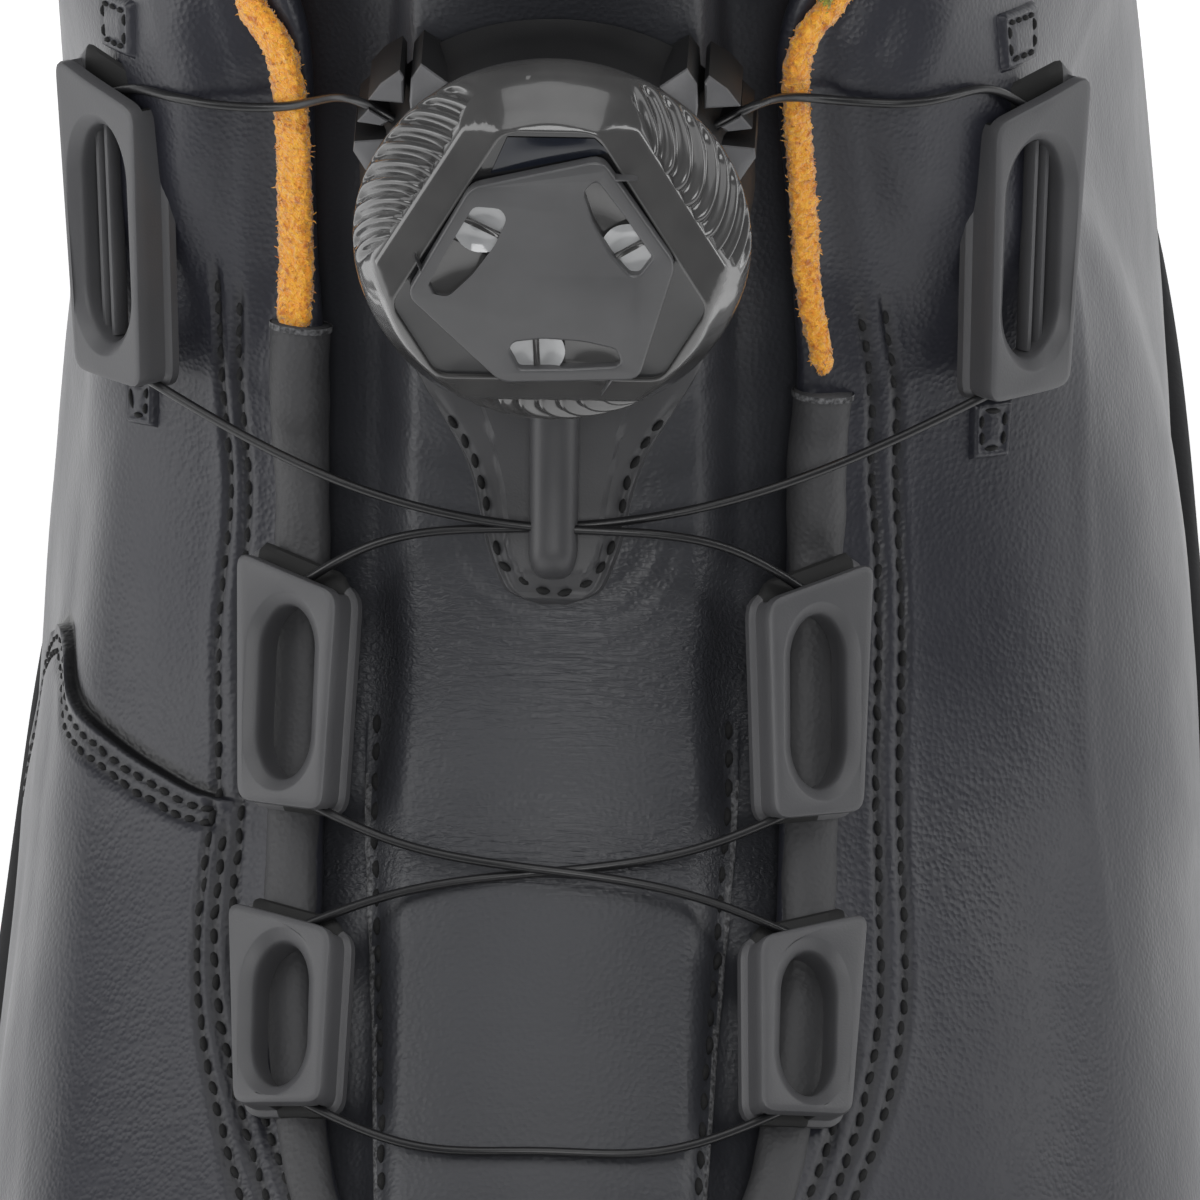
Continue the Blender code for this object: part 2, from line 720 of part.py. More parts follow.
dial_point, dial_along, dial_across, dial_normal = instep(DIAL_SIGMA, 0.0)
f_sigma = np.array([r[0] for r in FLANGE])[:, None]
f_x = np.array([r[1] for r in FLANGE])[:, None] * np.linspace(-1, 1, 9)[None, :]
f_sigma = np.broadcast_to(f_sigma, f_x.shape)
flange_grid = instep(f_sigma, f_x, np.full(f_x.shape, FLANGE_TOP))[0]
housing = sheet("dial_housing", flange_grid, HARD, FLANGE_THICK, np.full(f_x.shape, FLANGE_THICK))

angle = np.linspace(0, 2 * math.pi, 28, endpoint=False)
cup_foot = instep(
    DIAL_SIGMA + CUP_RADIUS * np.sin(angle), CUP_RADIUS * np.cos(angle), np.full(28, 0.2)
)[0]
cup_top = (
    dial_point
    + dial_normal * CUP_TOP
    + CUP_RADIUS * (np.cos(angle)[:, None] * dial_across + np.sin(angle)[:, None] * dial_along)
)
cup = fan_loft("dial_cup", [cup_foot, cup_top], dial_point + dial_normal * 0.2)
boolean(housing, helper("dial_cup", cup), "UNION")

for side_name, side in (("medial", -1.0), ("lateral", 1.0)):
    turn = math.radians(LOBE_TURN)
    spot = instep(
        DIAL_SIGMA + LOBE_REACH * math.sin(turn), side * LOBE_REACH * math.cos(turn), np.array(2.9)
    )
    bm = bmesh.new()
    size = Matrix.Diagonal((9.0 * MM, 6.4 * MM, 4.6 * MM, 1.0))
    bmesh.ops.create_cube(bm, size=1.0, matrix=size)
    bmesh.ops.bevel(bm, geom=bm.edges, offset=0.9 * MM, segments=1, affect="EDGES")
    mesh = bpy.data.meshes.new("port")
    bm.to_mesh(mesh)
    bm.free()
    port = helper("dial_port_" + side_name, mesh)
    place(port, (spot[0], spot[2], spot[1], spot[3]))
    port.rotation_euler.rotate_axis("Z", side * turn * 0.45)
    boolean(housing, port, "UNION")
    ANCHORS["dial", side, "top"] = spot[0] + spot[2] * side * 5.6 - spot[1] * 0.6

section = [(-1, 0.05), (-1, 0.5), (-0.68, 0.86), (0, 1.0), (0.68, 0.86), (1, 0.5), (1, 0.05)]
ribs = [
    instep(
        np.full(len(section), s),
        np.array([p for p, _ in section]) * KEEPER_WIDTH / 2,
        np.array([max(0.2, q * h) for _, q in section]),
    )[0]
    for s, h in KEEPER
]
boolean(housing, helper("lace_keeper", fan_loft("lace_keeper", ribs)), "UNION")
bm = bmesh.new()
size = Matrix.Diagonal((14 * MM, TUNNEL_LONG * MM, TUNNEL_HIGH * MM, 1.0))
bmesh.ops.create_cube(bm, size=1.0, matrix=size)
mesh = bpy.data.meshes.new("tunnel")
bm.to_mesh(mesh)
bm.free()
tunnel = helper("lace_tunnel", mesh)
spot = instep(TUNNEL_SIGMA, 0.0, np.array(TUNNEL_LIFT))
place(tunnel, (spot[0], spot[2], spot[1], spot[3]))
boolean(housing, tunnel, "DIFFERENCE")

mesh = bpy.data.meshes.new("dial_knob")
mesh.from_pydata(
    [(r * MM, 0.0, z * MM) for r, z in KNOB_PROFILE],
    [(i, i + 1) for i in range(len(KNOB_PROFILE) - 1)],
    [],
)
knob = add("dial_knob", mesh, SMOKY)
place(knob, (dial_point + dial_normal * KNOB_BASE, dial_across, dial_along, dial_normal))
screw = knob.modifiers.new("turn", "SCREW")
screw.axis = "Z"
screw.steps = screw.render_steps = 40
screw.use_merge_vertices = True
screw.merge_threshold = 0.00001
screw.use_smooth_shade = True

# ---------------------------------------------------------------- wire lace
bpy.context.view_layer.update()


def skin(*objects):
    """Faces of these objects as one search tree, without the origin's shift."""
    bm = bmesh.new()
    graph = bpy.context.evaluated_depsgraph_get()
    for obj in objects:
        mesh = bpy.data.meshes.new_from_object(obj.evaluated_get(graph))
        mesh.transform(ROOT.matrix_world.inverted() @ obj.matrix_world)
        bm.from_mesh(mesh)
        bpy.data.meshes.remove(mesh)
    tree = BVHTree.FromBMesh(bm)
    bm.free()
    return tree


SKIN = skin(upper, tongue, housing)


def laid(points, samples):
    """A wire pulled through these points and held off what it lies on."""
    points = np.array(points)
    cuts = np.concatenate([[0], np.cumsum(np.linalg.norm(np.diff(points, axis=0), axis=1))])
    path = cubic(cuts, points)(np.linspace(0, cuts[-1], samples))
    for _ in range(6):
        for i in range(1, samples - 1):
            near, normal, _, far = SKIN.find_nearest(Vector(path[i]) * MM)
            gap = (Vector(path[i]) * MM - near).dot(normal) / MM
            least = WIRE_RADIUS + WIRE_CLEAR
            if far / MM < least or gap < 0:
                path[i] = np.array(near / MM + normal * least)
        path[1:-1] = path[1:-1] * 0.5 + (path[2:] + path[:-2]) * 0.25
    for i in range(1, samples - 1):
        near, normal, _, far = SKIN.find_nearest(Vector(path[i]) * MM)
        if far / MM < WIRE_RADIUS + WIRE_CLEAR:
            path[i] = np.array(near / MM + normal * (WIRE_RADIUS + WIRE_CLEAR))
    return path


def wire_mesh(name, path):
    curve = bpy.data.curves.new(name, "CURVE")
    curve.dimensions = "3D"
    curve.bevel_depth = WIRE_RADIUS * MM
    curve.bevel_resolution = 1
    curve.use_fill_caps = True
    spline = curve.splines.new("POLY")
    spline.points.add(len(path) - 1)
    for point, co in zip(spline.points, path):
        point.co = (*(co * MM), 1.0)
    return solid_from_curve(name, curve, Matrix.Identity(4))


def over(sigma, x, lift):
    return instep(sigma, x, np.array(lift))[0]


CROSSINGS = [  # name, from_guide, to_guide, from_sigma, middle_sigma, to_sigma, lift
    ("lace_cross_upper", "upper", "mid", 56.6, 54.3, 52.4, 2.2),
    ("lace_cross_lower", "mid", "lower", 29.3, 26.6, 24.9, 0.4),
]
for name, high, low, s0, s1, s2, lift in CROSSINGS:
    meshes = []
    for side in (-1.0, 1.0):
        route = [
            ANCHORS[high, side, "low"],
            over(s0, side * 13.0, lift + 0.4),
            over(s1, 0.0, lift),
            over(s2, -side * 13.0, lift + 0.4),
            ANCHORS[low, -side, "top"],
        ]
        meshes.append(wire_mesh(name, laid(route, 21)))
    crossing = add(name, meshes[0], WIRE)
    boolean(crossing, helper(name + "_other", meshes[1]), "UNION")

bar = [
    ANCHORS["lower", -1.0, "low"],
    over(4.6, -9.0, 0.5),
    over(4.2, 0.0, 0.1),
    over(4.6, 9.0, 0.5),
    ANCHORS["lower", 1.0, "low"],
]
add("lace_bar", wire_mesh("lace_bar", laid(bar, 15)), WIRE)
for side_name, side in (("medial", -1.0), ("lateral", 1.0)):
    route = [
        ANCHORS["dial", side, "top"],
        over(87.5, side * 22.5, 1.2),
        ANCHORS["upper", side, "top"],
    ]
    name = "lace_top_" + side_name
    add(name, wire_mesh(name, laid(route, 13)), WIRE)

# ---------------------------------------------------------------- origin
# middle of the sole's box, on the floor
box = np.concatenate(rings)
centre = (box.max(axis=0) + box.min(axis=0)) / 2
ROOT.location = (-centre[0] * MM, -centre[1] * MM, 0.0)
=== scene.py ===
import math

import bmesh
import bpy
import numpy as np
from mathutils import Matrix, Vector
from mathutils.bvhtree import BVHTree


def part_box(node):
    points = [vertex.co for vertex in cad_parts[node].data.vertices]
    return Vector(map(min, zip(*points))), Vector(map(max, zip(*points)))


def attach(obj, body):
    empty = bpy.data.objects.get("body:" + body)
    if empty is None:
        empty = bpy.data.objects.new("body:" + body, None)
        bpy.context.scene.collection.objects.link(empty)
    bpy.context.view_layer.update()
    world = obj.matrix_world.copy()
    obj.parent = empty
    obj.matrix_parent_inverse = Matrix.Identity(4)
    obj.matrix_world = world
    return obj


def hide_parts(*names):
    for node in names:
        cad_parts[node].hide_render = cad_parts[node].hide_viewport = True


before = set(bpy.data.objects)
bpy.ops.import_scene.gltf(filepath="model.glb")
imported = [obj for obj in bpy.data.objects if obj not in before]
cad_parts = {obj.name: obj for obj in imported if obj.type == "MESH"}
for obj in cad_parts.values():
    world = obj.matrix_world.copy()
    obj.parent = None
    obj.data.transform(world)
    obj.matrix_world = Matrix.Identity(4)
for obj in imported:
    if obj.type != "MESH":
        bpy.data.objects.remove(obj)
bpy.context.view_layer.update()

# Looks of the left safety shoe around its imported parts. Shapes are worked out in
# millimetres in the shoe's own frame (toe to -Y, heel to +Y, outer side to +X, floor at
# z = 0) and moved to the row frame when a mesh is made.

MM = 0.001
_low, _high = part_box("dial_knob")
SHIFT = np.array([(_low[0] + _high[0]) / 2 / MM, 0.0, 0.0])  # the dial stands over x = 0
RNG = np.random.default_rng(7)

# ---------------------------------------------------------------- driving sizes
LENGTH = 308.0  # outsole, toe to heel
BALL_WIDTH = 114.0  # outsole across the ball of the foot
RIM_WALL = 4.8  # from the outsole's edge in to the feather line of the upper
GAP = 0.3  # clearance between pieces that meet
WALL_VAMP = 2.4  # leather and lining
WALL_COLLAR = 6.5  # leather, foam and lining
COLLAR_SHIFT = -1.0  # the collar sits a little to the inner side of the lacing line
FLARE_FROM_Y = 28.0  # the collar flares away from this line across the shoe
THROAT_Y, THROAT_Z = -45.0, 78.0  # ridge point at sigma 0, just behind the throat
INSTEP_RADIUS, ANKLE_RADIUS = 34.0, 41.0  # cross-section arcs over the ridge
INSOLE_THICK = 4.0
LUG_DEPTH, LUG_GROOVE = 4.0, 5.0

# outsole outline: u along the length from the toe, centre line and half width as
# fractions of the ball width
OUTLINE = [  # u, centre, half
    (0.000, -0.085, 0.000),
    (0.030, -0.080, 0.250),
    (0.080, -0.066, 0.358),
    (0.160, -0.038, 0.432),
    (0.250, -0.014, 0.476),
    (0.340, 0.012, 0.500),
    (0.440, 0.025, 0.484),
    (0.550, 0.029, 0.454),
    (0.660, 0.031, 0.426),
    (0.770, 0.030, 0.403),
    (0.870, 0.012, 0.376),
    (0.950, 0.002, 0.282),
    (1.000, 0.000, 0.000),
]
# height of the cup floor and of the tread along the sole
SOLE_LEVELS = [  # u, floor, tread
    (0.000, 32.0, 18.0),
    (0.050, 27.0, 10.5),
    (0.100, 23.0, 5.0),
    (0.160, 19.5, 1.4),
    (0.210, 18.0, 0.0),
    (0.300, 17.0, 0.0),
    (0.400, 18.0, 0.0),
    (0.480, 20.0, 0.0),
    (0.530, 21.5, 3.0),
    (0.590, 23.5, 7.0),
    (0.640, 25.0, 5.0),
    (0.690, 25.5, 0.0),
    (0.800, 26.5, 0.0),
    (0.930, 27.0, 0.0),
    (1.000, 27.5, 5.0),
]
# slope of the ridge (middle of tongue and instep) along its own length
RIDGE = [  # sigma, slope in degrees
    (-40, 20),
    (-10, 23),
    (0, 25),
    (15, 27),
    (30, 33),
    (45, 42),
    (57, 53),
    (70, 65),
    (85, 72),
    (100, 75),
    (130, 77),
]
# sections of the upper that end on the throat or the eyestays
INSTEP_SECTIONS = [  # name, u, sigma, half_gap, fan, rise, lean_in, lean_out, run
    ("toe", 0.000, -10.0, 0.0, 0, 42, 0.02, 0.02, 52),
    ("toe_round", 0.014, -9.6, 4.5, 9, 42, 0.02, 0.02, 51),
    ("toe_corner", 0.050, -8.4, 8.6, 20, 42, 0.02, 0.02, 48),
    ("toe_side", 0.112, -5.6, 12.6, 36, 41, 0.03, 0.02, 43),
    ("vamp", 0.195, 1.0, 16.2, 58, 40, 0.04, 0.02, 36),
    ("ball", 0.290, 13.0, 18.0, 80, 38, 0.05, 0.02, 28),
    ("waist", 0.375, 28.0, 18.4, 90, 40, 0.05, 0.04, 25),
    ("instep", 0.450, 45.0, 18.6, 90, 46, 0.06, 0.06, 24),
    ("lace_top", 0.520, 62.0, 18.8, 84, 54, 0.03, 0.08, 23),
    ("ankle_front", 0.580, 79.0, 19.2, 74, 60, 0.04, 0.10, 23),
    ("collar_front", 0.630, 93.0, 20.0, 58, 62, 0.06, 0.10, 26),
]
# sections that end on the collar's top line
COLLAR_SECTIONS = [  # name, u, x, y, z, flare, rise, lean_in, lean_out, run
    ("collar_corner", 0.680, 25.5, 30.0, 150.0, 24, 58, 0.08, 0.09, 33),
    ("collar_ankle", 0.730, 35.0, 46.0, 148.0, 10, 54, 0.09, 0.08, 36),
    ("ankle_side", 0.790, 40.5, 72.0, 142.0, 4, 50, 0.09, 0.07, 38),
    ("quarter", 0.865, 36.0, 106.0, 141.0, -2, 48, 0.07, 0.06, 42),
    ("heel_side", 0.935, 25.5, 129.0, 145.0, -9, 47, 0.06, 0.06, 46),
    ("heel_round", 0.982, 11.0, 137.5, 148.0, -12, 46, 0.06, 0.06, 48),
    ("heel", 1.000, 0.0, 139.5, 149.0, -13, 46, 0.06, 0.06, 48),
]
TONGUE = [  # sigma, half_width, thick, edge_drop
    (-18, 20.0, 3.0, 3.9),
    (0, 23.0, 3.4, 3.7),
    (20, 24.5, 4.0, 3.6),
    (45, 25.0, 5.0, 3.8),
    (70, 25.5, 6.0, 4.8),
    (90, 26.5, 6.5, 7.2),
    (106, 27.0, 7.0, 7.6),
    (116, 27.0, 7.0, 4.5),
    (126, 24.0, 6.0, 3.0),
]


# ---------------------------------------------------------------- curves
def cubic(xs, ys):
    """Natural cubic spline through (xs, ys); ys may have several columns."""
    xs, ys = np.asarray(xs, float), np.asarray(ys, float)
    flat = ys.ndim == 1
    ys = ys[:, None] if flat else ys
    n, h = len(xs), np.diff(xs)
    a, r = np.eye(n), np.zeros_like(ys)
    for i in range(1, n - 1):
        a[i, i - 1 : i + 2] = h[i - 1], 2 * (h[i - 1] + h[i]), h[i]
        r[i] = 6 * ((ys[i + 1] - ys[i]) / h[i] - (ys[i] - ys[i - 1]) / h[i - 1])
    m = np.linalg.solve(a, r)

    def at(x):
        x = np.asarray(x, float)
        i = np.clip(np.searchsorted(xs, x) - 1, 0, n - 2)
        d, hi = (x - xs[i])[..., None], h[i][..., None]
        slope = (ys[i + 1] - ys[i]) / hi - hi * (2 * m[i] + m[i + 1]) / 6
        out = ys[i] + d * (slope + d * (m[i] / 2 + d * (m[i + 1] - m[i]) / (6 * hi)))
        return out[..., 0] if flat else out

    return at


def monotone(xs, ys):
    """Cubic through (xs, ys) that stays level where the table is level."""
    xs, ys = np.asarray(xs, float), np.asarray(ys, float)
    h, d = np.diff(xs), np.diff(ys) / np.diff(xs)
    k = np.zeros(len(xs))
    for i in range(1, len(xs) - 1):
        if d[i - 1] * d[i] > 0:
            w1, w2 = 2 * h[i] + h[i - 1], h[i] + 2 * h[i - 1]
            k[i] = (w1 + w2) / (w1 / d[i - 1] + w2 / d[i])
    k[0], k[-1] = d[0], d[-1]

    def at(x):
        x = np.clip(np.asarray(x, float), xs[0], xs[-1])
        i = np.clip(np.searchsorted(xs, x) - 1, 0, len(xs) - 2)
        s = (x - xs[i]) / h[i]
        return (
            ys[i] * (1 + 2 * s) * (1 - s) ** 2
            + ys[i + 1] * s * s * (3 - 2 * s)
            + h[i] * (k[i] * s * (1 - s) ** 2 - k[i + 1] * s * s * (1 - s))
        )

    return at


def smooth(x, lo, hi):
    s = np.clip((np.asarray(x, float) - lo) / (hi - lo), 0, 1)
    return s * s * (3 - 2 * s)


def unit(v):
    return v / np.linalg.norm(v, axis=-1, keepdims=True)


_turn = [math.acos(1 - 2 * row[0]) for row in OUTLINE]
_centre = cubic(_turn, [row[1] * BALL_WIDTH for row in OUTLINE])
_half = cubic(_turn, [row[2] * BALL_WIDTH for row in OUTLINE])
floor_at = monotone([row[0] for row in SOLE_LEVELS], [row[1] for row in SOLE_LEVELS])
tread_at = monotone([row[0] for row in SOLE_LEVELS], [row[2] for row in SOLE_LEVELS])


def outline(u, side, inset):
    """Point of the sole's outline moved in by inset; side is +1 lateral, -1 medial."""
    turn = np.arccos(np.clip(1 - 2 * np.asarray(u, float), -1, 1))
    half = _half(turn)
    x = _centre(turn) + side * half * (1 - 2 * inset / BALL_WIDTH)
    y = -LENGTH / 2 + inset + u * (LENGTH - 2 * inset)
    return np.stack([x, y], -1)


# ridge: slope integrated along its length
_sig = np.arange(-40.0, 130.01, 0.5)
_slope = cubic([r[0] for r in RIDGE], [r[1] for r in RIDGE])
_rad = np.radians(_slope(_sig))
_step = np.stack([np.cos(_rad), np.sin(_rad)], -1) * 0.5
_path = np.concatenate([[[0, 0]], np.cumsum((_step[1:] + _step[:-1]) / 2, axis=0)])
_path += np.array([THROAT_Y, THROAT_Z]) - _path[np.searchsorted(_sig, 0.0)]


def instep(sigma, x, lift=0.0):
    """Point, ridge direction, across direction and normal of the instep surface.

    sigma runs along the ridge, x across it as a length along the arc's chord,
    lift along the normal.
    """
    sigma, x = np.broadcast_arrays(np.asarray(sigma, float), np.asarray(x, float))
    y, z = (np.interp(sigma, _sig, _path[:, i]) for i in (0, 1))
    s = np.radians(_slope(sigma))
    r = INSTEP_RADIUS + (ANKLE_RADIUS - INSTEP_RADIUS) * smooth(sigma, 45, 95)
    a = np.arcsin(np.clip(x / r, -0.999, 0.999))
    o = np.zeros_like(s)
    along = np.stack([o, np.cos(s), np.sin(s)], -1)
    up = np.stack([o, -np.sin(s), np.cos(s)], -1)
    side = np.stack([o + 1, o, o], -1)
    sa, ca = np.sin(a)[..., None], np.cos(a)[..., None]
    normal = side * sa + up * ca
    across = side * ca - up * sa
    foot = np.stack([o, y, z], -1) - up * r[..., None]
    return foot + normal * (r[..., None] + np.asarray(lift)[..., None]), along, across, normal


# ---------------------------------------------------------------- the last
def section_table():
    """Rows for the lateral half from toe to heel: u, edge, edge tangent, handles."""
    rows = []
    for _, u, sigma, gap, fan, rise, lean_in, lean_out, run in INSTEP_SECTIONS:
        p, along, across, _ = instep(sigma, gap)
        f = math.radians(fan)
        t = -along * math.cos(f) + across * math.sin(f)
        rows.append([u, *p, *t, rise, lean_in, lean_out, run])
    for _, u, x, y, z, flare, rise, lean_in, lean_out, run in COLLAR_SECTIONS:
        out = unit(np.array([x, (y - FLARE_FROM_Y) * 0.35, 0.0]))
        f = math.radians(flare)
        t = out * math.sin(f) - np.array([0, 0, math.cos(f)])
        rows.append([u, x, y, z, *t, rise, lean_in, lean_out, run])
    return np.array(rows)


_rows = section_table()
_last = len(_rows) - 1
_odd = np.ones(_rows.shape[1])
_odd[[0, 1, 4]] = -1  # u, edge x and tangent x change sign across the middle
_front = _rows[3:0:-1] * _odd
_back = _rows[-2:-5:-1] * _odd
_back[:, 0] += 2.0
_sections = cubic(
    np.arange(-3, _last + 4), np.concatenate([_front, _rows, _back])
)


def last_surface(station, side, t):
    """Outer face of the upper: station 0 at the toe to _last at the heel, t from the
    feather line (0) to the top edge (1). Arrays broadcast together."""
    station, side, t = np.broadcast_arrays(
        np.asarray(station, float), np.asarray(side, float), np.asarray(t, float)
    )
    q = _sections(station)
    u = np.clip(q[..., 0], 0, 1)
    f2 = outline(u, side, RIM_WALL)
    du = 1e-3
    ahead = outline(np.clip(u + du, 0, 1), side, RIM_WALL)
    behind = outline(np.clip(u - du, 0, 1), side, RIM_WALL)
    d = unit(ahead - behind)
    out = np.stack([d[..., 1] * side, -d[..., 0] * side], -1)
    foot = np.concatenate([f2, floor_at(u)[..., None]], -1)
    flip = np.stack([side, np.ones_like(side), np.ones_like(side)], -1)
    edge, tangent = q[..., 1:4] * flip, unit(q[..., 4:7]) * flip
    edge[..., 0] += COLLAR_SHIFT * smooth(station, 10, 13)
    rise, run = q[..., 7:8], q[..., 10:11]
    lean = np.where(side < 0, q[..., 8], q[..., 9])[..., None]
    lift = np.concatenate([out * lean, np.ones_like(lean)], -1) * rise
    t = t[..., None]
    return (
        foot * (1 - t) ** 3
        + 3 * (foot + lift) * t * (1 - t) ** 2
        + 3 * (edge + tangent * run) * t * t * (1 - t)
        + edge * t**3
    )


def wall_at(station, t):
    """Thickness of the upper: padded round the collar, leather elsewhere."""
    pad = smooth(station, 9.0, 12.0) * smooth(t, 0.5, 0.72)
    edge = 1 - 0.35 * smooth(t, 0.9, 1.0)
    return WALL_VAMP + (WALL_COLLAR - WALL_VAMP) * pad * edge


_tongue = cubic([r[0] for r in TONGUE], [r[1:] for r in TONGUE])


def tongue_drop(sigma, x, edge_drop):
    """Depth of the tongue's face under the instep surface."""
    middle = 1.2 * (1 - smooth(sigma, 100, 118)) + 2.8 * (1 - smooth(sigma, -16, 2))
    return middle + (edge_drop - middle) * smooth(np.abs(x), 11.0, 16.5)


TREAD_GROOVES = [  # u, slant in degrees
    (0.115, 14),
    (0.185, 12),
    (0.255, 10),
    (0.325, 8),
    (0.395, 6),
    (0.460, 4),
    (0.745, -6),
    (0.810, -8),
    (0.875, -10),
]
# each guide is named for its place on a pair of eyestays; low and top are the middles
# of its ends on the upper, as section station and height t
GUIDES = [  # name, low_station, low_t, top_station, top_t, length, width, window, lift
    ("lower", 4.66, 0.976, 5.83, 0.984, 17.4, 9.4, 4.8, 1.0),
    ("mid", 6.27, 0.979, 7.35, 0.989, 20.5, 9.4, 4.8, 1.1),
    ("upper", 8.44, 0.722, 10.53, 0.738, 25.8, 10.0, 5.4, 2.3),
]
GUIDE_THICK = 3.6
GUIDE_SLANT = 3.2  # the top edge falls towards the tongue
GUIDE_TURN = 7.0  # degrees that the guides face the tongue more than the leather does
WIRE_RADIUS = 0.45
WIRE_CLEAR = 0.4


def rounded(corners, radius, steps=3):
    """Polygon with its corners rounded."""
    out = []
    n = len(corners)
    for i in range(n):
        p = np.array(corners[i])
        a, b = unit(np.array(corners[i - 1]) - p), unit(np.array(corners[(i + 1) % n]) - p)
        for s in np.linspace(0, 1, steps):
            out.append(p + radius * (a * (1 - s) ** 2 + b * s**2))
    return out


def guide_frame(row, side):
    """Middle of the guide's underside, across, along and normal."""
    _, s0, t0, s1, t1, _, _, _, lift = row
    low, top = last_surface(s0, side, t0), last_surface(s1, side, t1)
    mid_s, mid_t = (s0 + s1) / 2, (t0 + t1) / 2
    e = 0.02
    du = last_surface(mid_s + e, side, mid_t) - last_surface(mid_s - e, side, mid_t)
    dt = last_surface(mid_s, side, mid_t + e) - last_surface(mid_s, side, mid_t - e)
    normal = unit(np.cross(du, dt)) * side
    along = unit(top - low)
    normal = unit(normal - along * np.dot(normal, along))
    across = np.cross(along, normal)
    turn = math.radians(GUIDE_TURN) * side
    across, normal = (
        across * math.cos(turn) + normal * math.sin(turn),
        normal * math.cos(turn) - across * math.sin(turn),
    )
    middle = (low + top + 2 * last_surface(mid_s, side, mid_t)) / 4
    return middle + normal * lift, across, along, normal


DIAL_SIGMA = 82.6
CUP_RADIUS, CUP_TOP = 14.4, 6.6
FLANGE_TOP, FLANGE_THICK = 1.2, 1.5
LOBE_TURN, LOBE_REACH = 30.0, 16.0  # the two lace ports, degrees up from the side
FLANGE = [  # sigma, half_width of the sewn flange from its foot to its head
    (50.2, 1.4),
    (51.2, 3.3),
    (53.5, 4.8),
    (57.0, 5.5),
    (62.0, 7.4),
    (65.5, 9.6),
    (69.5, 12.4),
    (75.0, 14.6),
    (82.0, 15.8),
    (89.0, 15.2),
    (94.0, 13.2),
    (97.3, 10.0),
    (99.2, 6.0),
]
KEEPER = [  # sigma, height of the rib that holds the crossing down
    (50.8, 1.7),
    (51.6, 3.1),
    (53.5, 3.9),
    (58.0, 3.9),
    (63.0, 3.9),
    (69.5, 3.9),
]
KEEPER_WIDTH = 3.8
TUNNEL_SIGMA, TUNNEL_LONG, TUNNEL_LIFT, TUNNEL_HIGH = 54.3, 3.2, 2.2, 1.7
KNOB_BASE = CUP_TOP + GAP
KNOB_PROFILE = [  # radius, height, from the middle of the face to the underside
    (0.0, 7.0),
    (9.6, 7.0),
    (10.4, 7.6),
    (11.8, 7.6),
    (13.8, 6.5),
    (15.1, 4.6),
    (15.6, 2.4),
    (15.3, 0.8),
    (14.2, 0.0),
    (0.0, 0.0),
]

# ---------------------------------------------------------------- skin by distance from the top edge
_SG = np.arange(0.0, _last + 0.001, 0.02)
_TG = np.linspace(0.0, 1.06, 213)
_DG = np.arange(-6.0, 150.01, 0.5)


def _by_distance(side):
    points = last_surface(_SG[:, None], side, _TG[None, :])
    step = np.linalg.norm(np.diff(points, axis=1), axis=2)
    run = np.concatenate([np.zeros((len(_SG), 1)), np.cumsum(step, axis=1)], axis=1)
    edge = np.array([np.interp(1.0, _TG, row) for row in run])
    table = np.stack([np.interp(e - _DG, row, _TG) for e, row in zip(edge, run)])
    return table, edge


T_TABLE = {side: _by_distance(side) for side in (-1.0, 1.0)}


def t_at(station, side, d):
    """Height t of the point at distance d below the top edge."""
    table = T_TABLE[side][0]
    station, d = np.broadcast_arrays(np.asarray(station, float), np.asarray(d, float))
    i = np.clip(station / 0.02, 0, len(_SG) - 1.001)
    j = np.clip((d + 6.0) / 0.5, 0, len(_DG) - 1.001)
    i0, j0 = i.astype(int), j.astype(int)
    fi, fj = i - i0, j - j0
    return (
        table[i0, j0] * (1 - fi) * (1 - fj)
        + table[i0 + 1, j0] * fi * (1 - fj)
        + table[i0, j0 + 1] * (1 - fi) * fj
        + table[i0 + 1, j0 + 1] * fi * fj
    )


def column_length(station, side):
    return np.interp(station, _SG, T_TABLE[side][1])


def skin_at(station, side, d):
    return last_surface(station, side, t_at(station, side, d))


def skin_normal(station, side, d):
    s0, s1 = np.clip(station - 0.06, 0, _last), np.clip(station + 0.06, 0, _last)
    du = skin_at(s1, side, d) - skin_at(s0, side, d)
    dd = skin_at(station, side, d - 0.6) - skin_at(station, side, d + 0.6)
    return unit(np.cross(du, dd)) * side


# ---------------------------------------------------------------- meshes
class Soup:
    """Points and faces of one joined mesh, in shoe millimetres."""

    def __init__(self):
        self.points, self.quads, self.tris, self.count = [], [], [], 0

    def add(self, points, quads=(), tris=(), tag=0):
        points = np.asarray(points, float).reshape(-1, 3)
        for store, faces, n in ((self.quads, quads, 4), (self.tris, tris, 3)):
            faces = np.asarray(faces, int).reshape(-1, n)
            store.append(np.hstack([faces + self.count, np.full((len(faces), 1), tag)]))
        self.points.append(points)
        self.count += len(points)
        return self


def grid_faces(rows, cols, wrap_cols=False, wrap_rows=False):
    r = np.arange(rows if wrap_rows else rows - 1)[:, None]
    c = np.arange(cols if wrap_cols else cols - 1)[None, :]
    r1, c1 = (r + 1) % rows, (c + 1) % cols
    quads = np.stack([r * cols + c, r * cols + c1, r1 * cols + c1, r1 * cols + c], -1)
    return quads.reshape(-1, 4)


